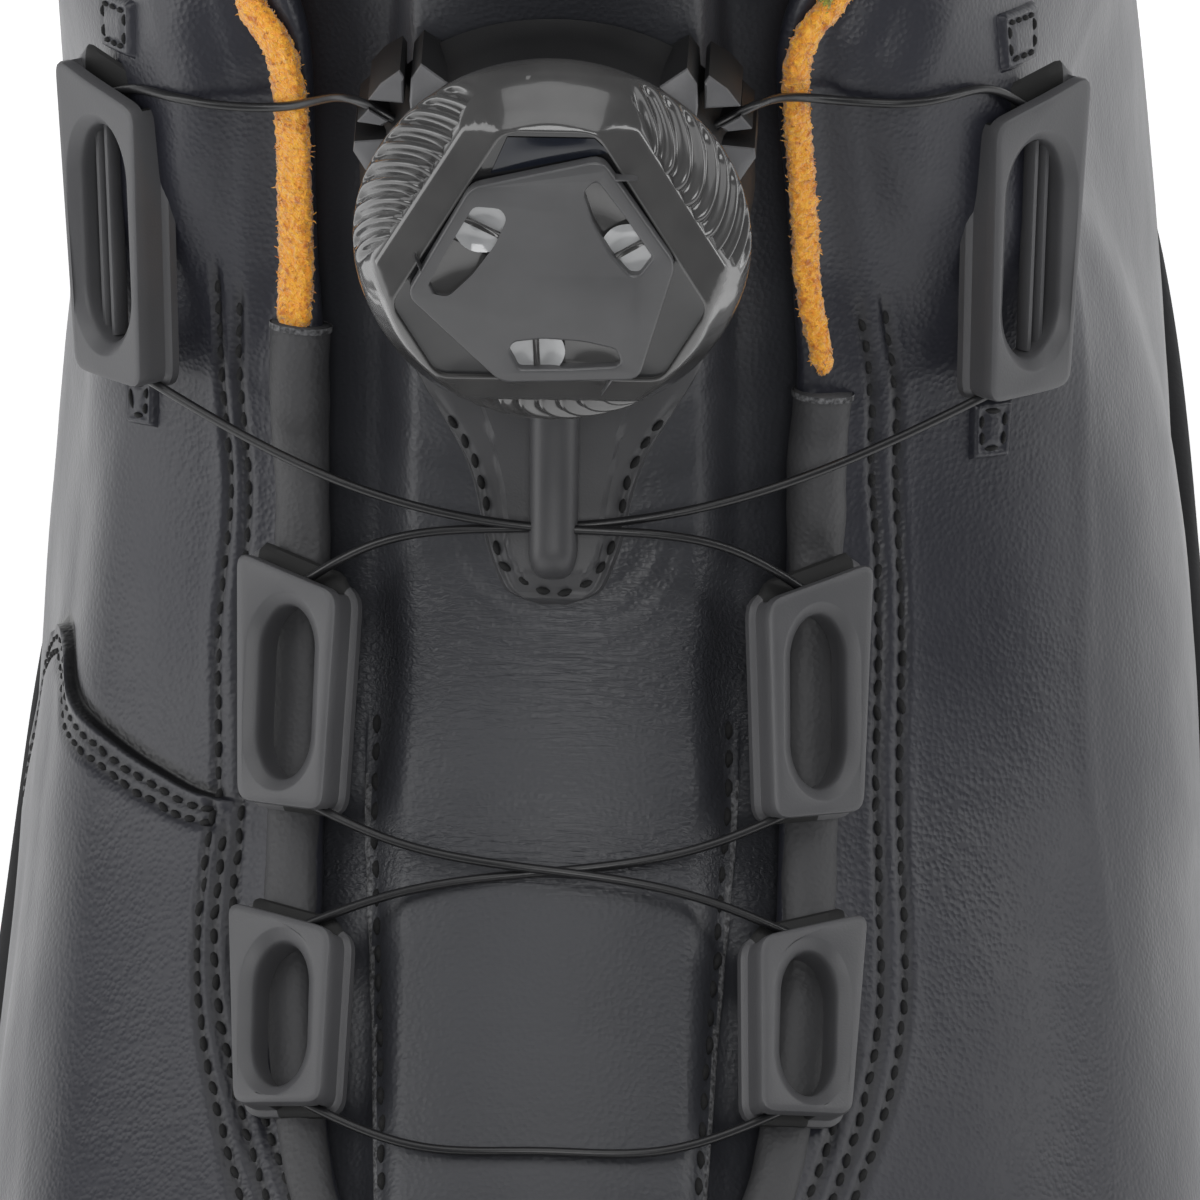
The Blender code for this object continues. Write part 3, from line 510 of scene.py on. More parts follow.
def make(name, soup, materials, replaces=(), sharp=None, outward=True, attributes=None):
    """Mesh object of a soup, riding on the shoe's one body."""
    points = (np.concatenate(soup.points) + SHIFT) * MM
    quads, tris = np.concatenate(soup.quads), np.concatenate(soup.tris)
    mesh = bpy.data.meshes.new(name)
    mesh.vertices.add(len(points))
    mesh.vertices.foreach_set("co", points.astype(np.float32).ravel())
    corners = np.concatenate([quads[:, :4].ravel(), tris[:, :3].ravel()]).astype(np.int32)
    mesh.loops.add(len(corners))
    mesh.loops.foreach_set("vertex_index", corners)
    starts = np.concatenate([np.arange(len(quads)) * 4, len(quads) * 4 + np.arange(len(tris)) * 3])
    mesh.polygons.add(len(starts))
    mesh.polygons.foreach_set("loop_start", starts.astype(np.int32))
    tags = np.concatenate([quads[:, 4], tris[:, 3]]).astype(np.int32)
    mesh.update(calc_edges=True)
    for mat in materials if isinstance(materials, (list, tuple)) else [materials]:
        mesh.materials.append(mat)
    mesh.polygons.foreach_set("material_index", tags)
    for key, values in (attributes or {}).items():
        layer = mesh.attributes.new(key, "FLOAT", "POINT")
        layer.data.foreach_set("value", np.asarray(values, np.float32).ravel())
    if outward:
        bm = bmesh.new()
        bm.from_mesh(mesh)
        bmesh.ops.recalc_face_normals(bm, faces=bm.faces)
        bm.to_mesh(mesh)
        bm.free()
    mesh.shade_smooth()
    if sharp:
        mesh.set_sharp_from_angle(angle=math.radians(sharp))
    obj = bpy.data.objects.new(name, mesh)
    bpy.context.scene.collection.objects.link(obj)
    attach(obj, "root")
    if replaces:
        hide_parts(*replaces)
    return obj


def resample(points, step):
    """Points along a smooth curve through these, a step apart, with their places in the run."""
    points = np.asarray(points, float)
    cuts = np.concatenate([[0], np.cumsum(np.linalg.norm(np.diff(points, axis=0), axis=1))])
    fine = cubic(cuts, points)(np.linspace(0, cuts[-1], max(60, len(points) * 12)))
    run = np.concatenate([[0], np.cumsum(np.linalg.norm(np.diff(fine, axis=0), axis=1))])
    n = max(2, int(round(run[-1] / step)) + 1)
    at = np.linspace(0, run[-1], n)
    return np.stack([np.interp(at, run, fine[:, i]) for i in range(points.shape[1])], -1)


def tangents(path):
    return unit(np.gradient(path, axis=0))


def carried(path, first=None):
    """Normals carried along a path without twist."""
    t = tangents(path)
    n = np.empty_like(path)
    guess = np.array([0.0, -0.6, 0.8]) if first is None else np.asarray(first, float)
    for i in range(len(path)):
        guess = guess - t[i] * np.dot(guess, t[i])
        guess = guess / np.linalg.norm(guess)
        n[i] = guess
    return n


def tube(soup, path, normals, wide, high, sides=12, tag=0, power=1.0, caps=True):
    """Tube of half width and half height along a path; both may vary along it."""
    t = tangents(path)
    normals = unit(normals - t * np.sum(normals * t, -1, keepdims=True))
    across = np.cross(t, normals)
    a = np.linspace(0, 2 * math.pi, sides, endpoint=False)
    c, s = np.cos(a), np.sin(a)
    c, s = np.sign(c) * np.abs(c) ** power, np.sign(s) * np.abs(s) ** power
    wide = np.broadcast_to(np.asarray(wide, float), (len(path),))
    high = np.broadcast_to(np.asarray(high, float), (len(path),))
    ringed = (
        path[:, None]
        + across[:, None] * (wide[:, None] * c)[..., None]
        + normals[:, None] * (high[:, None] * s)[..., None]
    )
    n = len(path)
    quads = grid_faces(n, sides, wrap_cols=True)
    points, tris = ringed.reshape(-1, 3), []
    if caps:
        k = np.arange(sides)
        first = np.stack([(k + 1) % sides, k, np.full(sides, n * sides)], -1)
        last = np.stack([(n - 1) * sides + k, (n - 1) * sides + (k + 1) % sides, np.full(sides, n * sides + 1)], -1)
        tris = np.concatenate([first, last])
        points = np.concatenate([points, [path[0]], [path[-1]]])
    soup.add(points, quads, tris, tag)
    return ringed


STITCHES = Soup()
HOLES = []  # places where thread goes in


def stitch_row(path, normals, pitch=1.95, share=0.74, radius=0.27, wobble=0.1, lift=0.0):
    """Thread dashes along a path lying on a surface."""
    run = np.concatenate([[0], np.cumsum(np.linalg.norm(np.diff(path, axis=0), axis=1))])
    count = max(1, int(run[-1] / pitch))
    step = run[-1] / count
    at = lambda q, v: np.stack([np.interp(q, run, v[:, i]) for i in range(3)], -1)
    profile = np.array([0.0, 0.62, 0.95, 1.0, 0.95, 0.62, 0.0])
    dive = np.array([-0.55, -0.18, 0.06, 0.12, 0.06, -0.18, -0.55])
    for k in range(count):
        mid = (k + 0.5) * step + RNG.normal() * 0.05
        half = step * share / 2
        q = mid + np.linspace(-1, 1, 7) * half
        line, n = at(q, path), unit(at(q, normals))
        t = tangents(line)
        side = np.cross(t, n)
        slant = RNG.normal() * wobble
        line = line + side * (np.linspace(-1, 1, 7) * slant + RNG.normal() * wobble * 0.5)[:, None]
        line = line + n * (dive[:, None] * radius * 1.5 + lift + 0.04)
        tube(STITCHES, line, n, radius * np.maximum(profile, 0.12), radius * np.maximum(profile, 0.12), 6)
        HOLES.append(line[0]), HOLES.append(line[-1])


# ---------------------------------------------------------------- materials
class Paint:
    """A Principled material with helpers for procedural nodes in object space."""

    def __init__(self, name, **sockets):
        self.mat = bpy.data.materials.new(name)
        self.mat.use_nodes = True
        self.tree = self.mat.node_tree
        self.bsdf = self.tree.nodes["Principled BSDF"]
        for key, value in sockets.items():
            self.bsdf.inputs[key.replace("_", " ")].default_value = value
        self.coords = self.tree.nodes.new("ShaderNodeTexCoord").outputs["Object"]

    def link(self, a, b):
        self.tree.links.new(a, b)

    def stretched(self, scale):
        node = self.tree.nodes.new("ShaderNodeMapping")
        node.inputs["Scale"].default_value = scale
        self.link(self.coords, node.inputs["Vector"])
        return node.outputs["Vector"]

    def noise(self, scale, detail=3.0, rough=0.55, coords=None, distortion=0.0):
        node = self.tree.nodes.new("ShaderNodeTexNoise")
        node.inputs["Scale"].default_value = scale
        node.inputs["Detail"].default_value = detail
        node.inputs["Roughness"].default_value = rough
        node.inputs["Distortion"].default_value = distortion
        self.link(coords or self.coords, node.inputs["Vector"])
        return node.outputs["Fac"]

    def cells(self, scale, coords=None, feature="F1"):
        node = self.tree.nodes.new("ShaderNodeTexVoronoi")
        node.feature = feature
        node.inputs["Scale"].default_value = scale
        self.link(coords or self.coords, node.inputs["Vector"])
        return node.outputs["Distance"]

    def wave(self, scale, direction="X", distortion=0.0, coords=None):
        node = self.tree.nodes.new("ShaderNodeTexWave")
        node.bands_direction = direction
        node.inputs["Scale"].default_value = scale
        node.inputs["Distortion"].default_value = distortion
        self.link(coords or self.coords, node.inputs["Vector"])
        return node.outputs["Fac"]

    def attribute(self, name):
        node = self.tree.nodes.new("ShaderNodeAttribute")
        node.attribute_name = name
        return node.outputs["Fac"]

    def math(self, op, a, b=0.0):
        node = self.tree.nodes.new("ShaderNodeMath")
        node.operation = op
        for socket, value in zip(node.inputs, (a, b)):
            if isinstance(value, (int, float)):
                socket.default_value = value
            else:
                self.link(value, socket)
        return node.outputs[0]

    def span(self, value, lo, hi, to_lo=0.0, to_hi=1.0):
        node = self.tree.nodes.new("ShaderNodeMapRange")
        for key, v in zip(("From Min", "From Max", "To Min", "To Max"), (lo, hi, to_lo, to_hi)):
            node.inputs[key].default_value = v
        self.link(value, node.inputs["Value"])
        return node.outputs["Result"]

    def blend(self, fac, a, b):
        node = self.tree.nodes.new("ShaderNodeMix")
        node.data_type = "RGBA"
        sockets = [s for s in node.inputs if s.type == "RGBA"]
        self.link(fac, [s for s in node.inputs if s.name == "Factor" and s.type == "VALUE"][0])
        for socket, value in zip(sockets, (a, b)):
            if isinstance(value, tuple):
                socket.default_value = (*value, 1.0)
            else:
                self.link(value, socket)
        return [s for s in node.outputs if s.type == "RGBA"][0]

    def colour(self, value):
        self.link(value, self.bsdf.inputs["Base Color"])

    def rough(self, value):
        self.link(value, self.bsdf.inputs["Roughness"])

    def bump(self, height, strength, distance):
        node = self.tree.nodes.new("ShaderNodeBump")
        node.inputs["Strength"].default_value = strength
        node.inputs["Distance"].default_value = distance
        self.link(height, node.inputs["Height"])
        previous = self.bsdf.inputs["Normal"].links
        if previous:
            self.link(previous[0].from_socket, node.inputs["Normal"])
        self.link(node.outputs["Normal"], self.bsdf.inputs["Normal"])


def leather(name, dark, light, gloss, grain=0.5, crease=0.0):
    p = Paint(name)
    mottle = p.noise(70.0, 2.0)
    # the dark attribute blends painted shade into the colour: the stitch grooves and the crevice at the vamp's edge
    p.colour(p.blend(p.attribute("dark"), p.blend(p.span(mottle, 0.3, 0.7), dark, light), (0.003, 0.003, 0.0035)))
    p.rough(p.span(mottle, 0.3, 0.7, gloss - 0.04, gloss + 0.05))
    pores = p.cells(2100.0)
    p.bump(p.span(pores, 0.0, 0.7), grain, 0.00006)
    p.bump(p.noise(260.0, 1.0), grain * 0.35, 0.0004)
    if crease:
        lines = p.noise(1.0, 2.0, 0.6, p.stretched((240.0, 2600.0, 2600.0)), 0.6)
        p.bump(p.math("MULTIPLY", p.span(lines, 0.3, 0.7), p.attribute("crease")), crease, 0.00016)
    return p.mat


LEATHER = leather("black_leather", (0.014, 0.0146, 0.021), (0.018, 0.0188, 0.0265), 0.40)
# lighter copy of the black leather: painted light for the light the tongue's face catches
TONGUE_LEATHER_LIGHT_PAINT = leather("tongue_leather_painted_light", (0.027, 0.028, 0.033), (0.034, 0.0355, 0.041), 0.42, 0.5, 0.6)
PIPING = leather("piping_leather", (0.036, 0.036, 0.038), (0.048, 0.048, 0.051), 0.60, 0.7)


def raw_edge():
    p = Paint("raw_leather_edge", Roughness=0.85)
    speck = p.noise(2600.0, 3.0)
    p.colour(p.blend(p.span(speck, 0.35, 0.65), (0.026, 0.026, 0.028), (0.15, 0.151, 0.156)))
    p.bump(speck, 0.6, 0.0002)
    return p.mat


def thread():
    p = Paint("black_thread", Roughness=0.85)
    twist = p.noise(2800.0, 2.0)
    p.colour(p.blend(p.span(twist, 0.3, 0.7), (0.002, 0.002, 0.0022), (0.005, 0.005, 0.0055)))
    p.bump(twist, 0.6, 0.0001)
    return p.mat


def moulded(name, dark, light, gloss, grain):
    p = Paint(name)
    speck = p.noise(5200.0, 2.0)
    broad = p.noise(90.0, 3.0)
    p.colour(p.blend(p.span(broad, 0.3, 0.7), dark, light))
    p.rough(p.span(broad, 0.3, 0.7, gloss - 0.03, gloss + 0.03))
    p.bump(speck, grain, 0.00005)
    return p.mat


def smoky(name, dark, light, gloss, coat):
    p = Paint(name, Coat_Weight=coat, Coat_Roughness=0.06)
    cloud = p.noise(160.0, 3.0)
    p.colour(p.blend(p.span(cloud, 0.3, 0.7), dark, light))
    p.rough(p.span(p.noise(900.0, 2.0), 0.3, 0.7, gloss, gloss + 0.05))
    p.bump(p.noise(700.0, 2.0), 0.05, 0.0001)
    return p.mat


def fleece(name, bright, deep, speckle):
    p = Paint(name, Roughness=0.95, Sheen_Weight=0.5, Sheen_Roughness=0.5)
    wool = p.noise(2600.0, 3.0, 0.6, None, 0.4)
    patch = p.noise(1150.0, 2.0)
    body = p.blend(p.span(wool, 0.35, 0.65), deep, bright)
    p.colour(p.blend(p.span(patch, 0.55, 0.70), body, speckle))
    p.bump(p.math("ADD", wool, patch), 0.9, 0.0004)
    return p.mat


def knit(name, dark, light, scale, depth):
    p = Paint(name, Roughness=0.95, Sheen_Weight=0.25, Sheen_Roughness=0.5)
    loop = p.cells(scale)
    p.colour(p.blend(p.span(loop, 0.1, 0.75), light, dark))
    p.bump(loop, 0.7, depth)
    return p.mat


def rubber():
    p = Paint("black_rubber")
    broad = p.noise(60.0, 3.0)
    p.colour(p.blend(p.span(broad, 0.3, 0.7), (0.014, 0.014, 0.015), (0.024, 0.024, 0.026)))
    p.rough(p.span(broad, 0.3, 0.7, 0.55, 0.68))
    p.bump(p.noise(1800.0, 2.0), 0.35, 0.0001)
    return p.mat


RAW_EDGE, THREAD, RUBBER = raw_edge(), thread(), rubber()
PLASTIC = moulded("guide_plastic", (0.066, 0.066, 0.070), (0.080, 0.080, 0.084), 0.45, 0.35)
# near black: painted shade inside the guides' lace slots
SLOT_PAINTED_SHADE = moulded("guide_slot_shadow_paint", (0.003, 0.003, 0.003), (0.006, 0.006, 0.006), 0.7, 0.2)
BASE_PLASTIC = moulded("housing_plastic", (0.042, 0.042, 0.045), (0.054, 0.054, 0.057), 0.45, 0.3)
# near black: the housing's dark plastic darkened further as painted shade round and under the knob and on the lobes'
# walls
HOUSING_BLACK_SHADE_PAINT = moulded("housing_black_with_painted_shade", (0.004, 0.004, 0.0045), (0.007, 0.007, 0.0075), 0.5, 0.3)
# lighter copy of the housing plastic: painted highlight on the lobes' lit tops
LOBE_HIGHLIGHT_PAINT = moulded("housing_facets_painted_highlight", (0.10, 0.10, 0.104), (0.13, 0.13, 0.135), 0.38, 0.3)
SMOKY = smoky("smoky_knob", (0.046, 0.045, 0.045), (0.066, 0.065, 0.064), 0.18, 0.8)
SMOKY_DARK = smoky("smoky_face", (0.008, 0.008, 0.009), (0.013, 0.013, 0.014), 0.15, 0.6)
SMOKY_NAVY = smoky("smoky_navy", (0.004, 0.006, 0.012), (0.007, 0.010, 0.020), 0.12, 0.3)
PLATE = smoky("smoky_plate", (0.058, 0.058, 0.060), (0.074, 0.074, 0.077), 0.34, 0.2)
# pale glossy floor: painted reflection in the knob's windows
WINDOW_REFLECTION_PAINT = smoky("window_reflection_painted", (0.30, 0.305, 0.31), (0.46, 0.465, 0.47), 0.12, 0.9)
WIRE = moulded("wire_coating", (0.009, 0.009, 0.010), (0.014, 0.014, 0.015), 0.30, 0.1)
FLEECE = fleece("orange_fleece", (0.92, 0.46, 0.035), (0.80, 0.27, 0.012), (0.55, 0.15, 0.008))
GREEN = fleece("green_fleece", (0.55, 0.52, 0.06), (0.30, 0.30, 0.04), (0.20, 0.18, 0.03))
COLLAR_KNIT = knit("collar_lining", (0.36, 0.11, 0.008), (0.78, 0.31, 0.025), 1100.0, 0.0004)
DARK_KNIT = knit("vamp_lining", (0.012, 0.012, 0.013), (0.035, 0.035, 0.037), 1400.0, 0.0003)
INSOLE = knit("insole_knit", (0.05, 0.05, 0.052), (0.12, 0.12, 0.122), 900.0, 0.0004)

# ---------------------------------------------------------------- upper: seams and relief
# places on the upper are (station, distance below its sewn edge)
def table(rows):
    rows = np.array(rows, float)
    return monotone(rows[:, 0], rows[:, 1])


# how far the sewn edge stands below the edge of the part
EDGE_MOVE = {
    -1.0: table([(0, 0), (8.2, 0), (9.0, 0.2), (9.6, 0.65), (9.95, 1.2), (10.4, 2.4), (11.0, 2.4), (12.5, 0.8), (14, 0), (17, 0)]),
    1.0: table([(0, 0), (7.7, 0), (8.15, 0.5), (8.5, -0.2), (9.0, -1.0), (9.4, -1.5), (9.8, -1.8), (10.05, -1.4), (10.35, -0.3), (11.0, 0.4), (12.5, 0.3), (14, 0), (17, 0)]),
}
# and how far the photo's edge stands below that, where the piping and the strip bind it
BOUND = {
    -1.0: table([(0, 0), (2.0, 0), (4.4, 1.5), (6.0, 1.7), (8.3, 1.7), (9.5, 1.5), (10.2, 1.1), (11.0, 0.5), (12.5, 0), (17, 0)]),
    1.0: table([(0, 0), (2.0, 0), (4.4, 1.5), (6.0, 1.7), (8.2, 1.6), (8.8, 1.2), (9.5, 0.9), (10.2, 0.6), (11.0, 0.3), (12.5, 0), (17, 0)]),
}
# rows of stitching: side, then (station, distance) from the top down to the throat
ROWS = [
    (-1.0, [(8.70, 10.3), (8.12, 9.8), (7.74, 9.0), (7.14, 10.0), (6.43, 9.9), (5.81, 11.0), (5.1, 9.8), (4.42, 8.2), (3.0, 7.6), (1.5, 7.3), (0.0, 7.2)]),
    (-1.0, [(8.54, 7.8), (8.09, 7.9), (7.71, 7.1), (7.20, 7.7), (6.43, 7.4), (5.81, 8.0), (5.1, 6.4), (4.33, 3.9), (3.0, 3.2), (1.5, 3.0), (0.0, 3.0)]),
    (-1.0, [(6.25, 8.8), (5.81, 9.5), (5.1, 8.1), (4.33, 6.0), (3.0, 5.4), (1.5, 5.2), (0.0, 5.1)]),
    (1.0, [(8.55, 8.4), (8.15, 9.0), (7.19, 10.6), (6.48, 10.8), (5.49, 11.8), (4.58, 9.3), (3.0, 7.9), (1.5, 7.4), (0.0, 7.2)]),
    (1.0, [(8.48, 6.1), (8.12, 6.6), (7.27, 8.3), (6.44, 8.6), (5.49, 9.6), (4.47, 7.3), (3.0, 5.7), (1.5, 5.3), (0.0, 5.1)]),
    (1.0, [(5.25, 7.3), (4.80, 6.2), (4.30, 5.1), (3.0, 3.6), (1.5, 3.1), (0.0, 3.0)]),
]
ROW_AT = [(side, cubic([s for s, _ in rows][::-1], [d - float(BOUND[side](s)) for s, d in rows][::-1]), rows[0][0]) for side, rows in ROWS]
OLD_EDGE = dict(EDGE_MOVE)
EDGE_MOVE = {side: (lambda s, side=side: OLD_EDGE[side](s) + BOUND[side](s)) for side in (-1.0, 1.0)}
# the vamp's edge on the inner side: distance, station
SEAM = table([(-1.7, 6.30), (4.3, 6.34), (9.1, 6.46), (14.8, 6.72), (22.0, 7.11), (30.2, 7.57), (36.3, 7.97), (44.5, 8.35), (56.5, 8.62), (73.5, 8.75), (150, 8.78)])
RIDGE_LINE = cubic([6.3, 6.55, 7.28, 8.93, 11.86, 13.0], [40.5, 38.7, 33.8, 36.2, 35.0, 36.0])
SEAM_HOME, SEAM_LOW, SEAM_HIGH = 7.2, 4.2, 10.8
SEAM_STEP = 0.8


def seam_distance(station, d):
    """Millimetres from the vamp's edge, positive on the vamp."""
    e = 0.04
    spread = np.linalg.norm(
        skin_at(np.clip(station + e, 0, _last), -1.0, d) - skin_at(np.clip(station - e, 0, _last), -1.0, d), axis=-1
    ) / (2 * e)
    slope = (SEAM(d + 0.5) - SEAM(d - 0.5)) * spread
    return (SEAM(d) - station) * spread / np.sqrt(1 + slope**2), spread, slope


# how far the inner flank stands inside the last
PULL = table([(0, 0), (3.5, 0.8), (5.5, 2.0), (7.0, 1.9), (8.3, 1.4), (9.5, 0.9), (10.5, 0.3), (11.5, 0), (17, 0)])


def painted_groove_shade(station, side, d):
    """Painted shade: the leather's colour darkened in the grooves of the stitching and in the crevice at the foot of
    the vamp's cut edge, its face included.
    """
    out = np.zeros(np.broadcast(station, d).shape)
    for row_side, row, top in ROW_AT:
        if row_side == side:
            near = d - row(np.minimum(station, top))
            out = np.maximum(out, 0.7 * np.exp(-((near / 0.55) ** 2)) * (1 - smooth(station, top - 0.02, top + 0.12)))
    if side < 0:
        x, _, _ = seam_distance(station, d)
        inside = smooth(d, 5.3, 8.8)
        out = np.maximum(out, inside * smooth(x, -0.95, -0.4) * (1 - smooth(x, 0.12, 0.3)))
        for row in (1.05, 1.95):
            out = np.maximum(out, 0.6 * inside * np.exp(-(((x - row) / 0.4) ** 2)))
    return out


def relief(station, side, d):
    """Height of the leather's face over the last, in millimetres."""
    station, d = np.broadcast_arrays(np.asarray(station, float), np.asarray(d, float))
    pad = smooth(station, 8.45, 9.5)
    h = 2.5 * pad * smooth(d, 3.2, 12.0) * (1 - smooth(d, 20.0, 46.0))
    h = h - 1.3 * smooth(station, 8.15, 8.7) * (1 - smooth(d, 2.6, 6.2))
    h = h - 0.35 * pad * np.exp(-(((d - 6.4) / 1.6) ** 2))
    for row_side, row, top in ROW_AT:
        if row_side != side:
            continue
        near = d - row(np.minimum(station, top))
        reach = 1 - smooth(station, top - 0.02, top + 0.12)
        h = h + reach * (0.2 * np.exp(-((near / 1.2) ** 2)) - 0.46 * np.exp(-((near / 0.46) ** 2)))
    if side < 0:
        x, _, _ = seam_distance(station, d)
        inside = smooth(d, 5.3, 8.8)
        h = h + inside * SEAM_STEP * smooth(x, -0.12, 0.16) * (1 - smooth(x, 8.0, 55.0))
        h = h - inside * 0.25 * np.exp(-((np.minimum(x, 0) / 0.8) ** 2)) * (x < 0.16) * smooth(x, -4, -0.1)
        for row in (1.05, 1.95):
            h = h - inside * 0.32 * np.exp(-(((x - row) / 0.36) ** 2))
        h = h - PULL(station) * smooth(d, 22.0, 42.0) * (1 - smooth(d, 60.0, 80.0))
    else:
        near = d + BOUND[side](station) - RIDGE_LINE(np.clip(station, 6.3, 13.0))
        h = h + 0.16 * np.exp(-((near / 1.6) ** 2)) * smooth(station, 6.35, 7.4) * (1 - smooth(station, 11.6, 13))
    return h


def leather_at(station, side, d):
    """Point and normal on the leather's face."""
    station, d = np.broadcast_arrays(np.asarray(station, float), np.asarray(d, float))
    down = d + EDGE_MOVE[side](station)
    n = skin_normal(station, side, down)
    return skin_at(station, side, down) + n * relief(station, side, d)[..., None], n


# ---------------------------------------------------------------- upper: the mesh
def spread_stations(side):
    """Stations closer together where the photo looks."""
    s = np.linspace(0, _last, 3401)
    p = skin_at(s, side, np.full(s.shape, 16.0))
    length = np.concatenate([[0], np.cumsum(np.linalg.norm(np.diff(p, axis=0), axis=1))])
    near = smooth(s, 2.2, 3.6) * (1 - smooth(s, 11.2, 12.6))
    count = np.cumsum(np.gradient(length) * (1 / 2.2 + (1 / 0.47 - 1 / 2.2) * near))
    count -= count[0]
    n = int(count[-1])
    out = np.interp(np.linspace(0, count[-1], n), count, s)
    if side < 0:
        extra = SEAM_HOME + np.array([-0.016, -0.008, -0.003, 0.003, 0.008, 0.016])
        out = np.sort(np.concatenate([out[np.abs(out - SEAM_HOME) > 0.022], extra]))
    return out


def upper_columns():
    outer, inner = spread_stations(1.0), spread_stations(-1.0)
    station = np.concatenate([outer, inner[1:-1][::-1]])
    side = np.concatenate([np.ones(len(outer)), -np.ones(len(inner) - 2)])
    return station, side


def place_rows(station, side, near, mid, far):
    """Distances of the rows down one side's columns: near the edge, then the rest."""
    length = column_length(station, side)[:, None] - EDGE_MOVE[side](station)[:, None]
    cap = np.minimum(44.0, 0.62 * length)
    a = np.arange(0, 16.0, near)
    b = 16 + (cap - 16) * np.linspace(0, 1, int(28 / mid), endpoint=False)[None, :]
    c = cap + (length - cap) * np.linspace(0, 1, far)[None, :]
    return np.concatenate([np.broadcast_to(a, (len(station), len(a))), b, c], axis=1)


def warp(home, d):
    """Stations moved so that one column follows the vamp's edge."""
    f = SEAM(d)
    low = SEAM_LOW + (home - SEAM_LOW) * (f - SEAM_LOW) / (SEAM_HOME - SEAM_LOW)
    high = SEAM_HIGH - (SEAM_HIGH - home) * (SEAM_HIGH - f) / (SEAM_HIGH - SEAM_HOME)
    moved = np.where(home < SEAM_HOME, low, high)
    return np.where((home <= SEAM_LOW) | (home >= SEAM_HIGH), home, moved)


def slow(p):
    """Slight unevenness of lasted leather."""
    x, y, z = p[..., 0], p[..., 1], p[..., 2]
    return 0.10 * np.sin(x / 7.1 + 1.3 * np.sin(y / 15.0)) * np.sin(y / 9.7 + z / 12.0) + 0.06 * np.sin(
        y / 4.3 + 0.8 * np.sin(z / 6.0 + x / 9.0)
    )


COLUMN_STATION, COLUMN_SIDE = upper_columns()
_grid, _lift, _stations, _painted_groove_shade = [], [], [], []
for side in (1.0, -1.0):
    home = COLUMN_STATION[COLUMN_SIDE == side]
    d = place_rows(home, side, 0.42, 1.0, 13)
    s = np.broadcast_to(home[:, None], d.shape)
    if side < 0:
        s = warp(s, d)
        length = column_length(s, side) - EDGE_MOVE[side](s)
        full = d[:, -1:]
        d = np.where(d > 44, 44 + (length - 44) * (d - 44) / np.maximum(full - 44, 1e-6), np.minimum(d, length))
    down = d + EDGE_MOVE[side](s)
    _grid.append(skin_at(s, side, down))
    _lift.append(relief(s, side, d))
    _stations.append(s)
    _painted_groove_shade.append(painted_groove_shade(s, side, d))
BASE = np.concatenate(_grid).transpose(1, 0, 2)[::-1]  # rows from the sole up, columns round
LIFT = np.concatenate(_lift).T[::-1]
ROW_STATION = np.concatenate(_stations).T[::-1]
along = np.roll(BASE, -1, axis=1) - np.roll(BASE, 1, axis=1)
BASE_N = unit(np.cross(along, np.gradient(BASE, axis=0)))
LIFT = LIFT + slow(BASE) * smooth(np.arange(len(BASE)), 0, 6)[:, None]
FACE = BASE + BASE_N * LIFT[..., None]

# over the top edge to the lining
_wall = wall_at(ROW_STATION[-1], 1.0)
RIM_R = np.maximum((_wall + LIFT[-1]) / 2, 0.55)
RIM_UP = unit(FACE[-1] - FACE[-4])
RIM_UP = unit(RIM_UP - BASE_N[-1] * np.sum(RIM_UP * BASE_N[-1], -1, keepdims=True))
RIM_C = FACE[-1] - BASE_N[-1] * RIM_R[:, None]


def over_edge(angle):
    c, s = math.cos(angle), math.sin(angle)
    return RIM_C + (BASE_N[-1] * c + RIM_UP * s) * RIM_R[:, None]


rim = np.stack([over_edge(a) for a in np.linspace(0, 1.1 * math.pi, 10)[1:]])
sheet_points = np.concatenate([FACE, rim])
upper_soup = Soup().add(sheet_points, grid_faces(*sheet_points.shape[:2], wrap_cols=True))
# painted shade for the stitch grooves and the vamp's edge, carried in the dark attribute
PAINTED_GROOVE_SHADE = np.concatenate([np.concatenate(_painted_groove_shade).T[::-1], np.zeros((len(rim), FACE.shape[1]))])
upper = make("upper_leather", upper_soup, LEATHER, ["upper"], outward=False, attributes={"dark": PAINTED_GROOVE_SHADE})
LEATHER_TREE = BVHTree.FromPolygons(
    [Vector(p) for p in FACE.reshape(-1, 3)], grid_faces(*FACE.shape[:2], wrap_cols=True).tolist()
)

# ---------------------------------------------------------------- lining
def lining():
    soup = Soup()
    n = 150
    s = np.concatenate([np.linspace(0, _last, n), np.linspace(_last, 0, n)[1:-1]])
    side = np.concatenate([np.ones(n), -np.ones(n - 2)])
    grids, walls, tags = [], [], []
    for one in (1.0, -1.0):
        home = s[side == one]
        d = place_rows(home, one, 2.0, 2.0, 12)
        st = np.broadcast_to(home[:, None], d.shape)
        down = d + EDGE_MOVE[one](st)
        grids.append(skin_at(st, one, down))
        walls.append(wall_at(st, t_at(st, one, down)) - 0.25 * (1 - smooth(d, 0, 2)))
        tags.append((st > 8.6) & (d < 60 - 4.0 * np.abs(st - 13)))
    base = np.concatenate(grids).transpose(1, 0, 2)
    wall = np.concatenate(walls).T
    orange = np.concatenate(tags).T
    around = np.roll(base, -1, axis=1) - np.roll(base, 1, axis=1)
    normal = unit(np.cross(around, -np.gradient(base, axis=0)))
    points = base - normal * wall[..., None]
    quads = grid_faces(*points.shape[:2], wrap_cols=True)[:, ::-1]
    pick = orange[:-1].ravel()
    soup.add(points, quads[~pick], (), 0)
    soup.quads.append(np.hstack([quads[pick], np.ones((pick.sum(), 1), int)]))
    obj = make("lining", soup, [DARK_KNIT, COLLAR_KNIT], outward=False)
    return obj


lining()


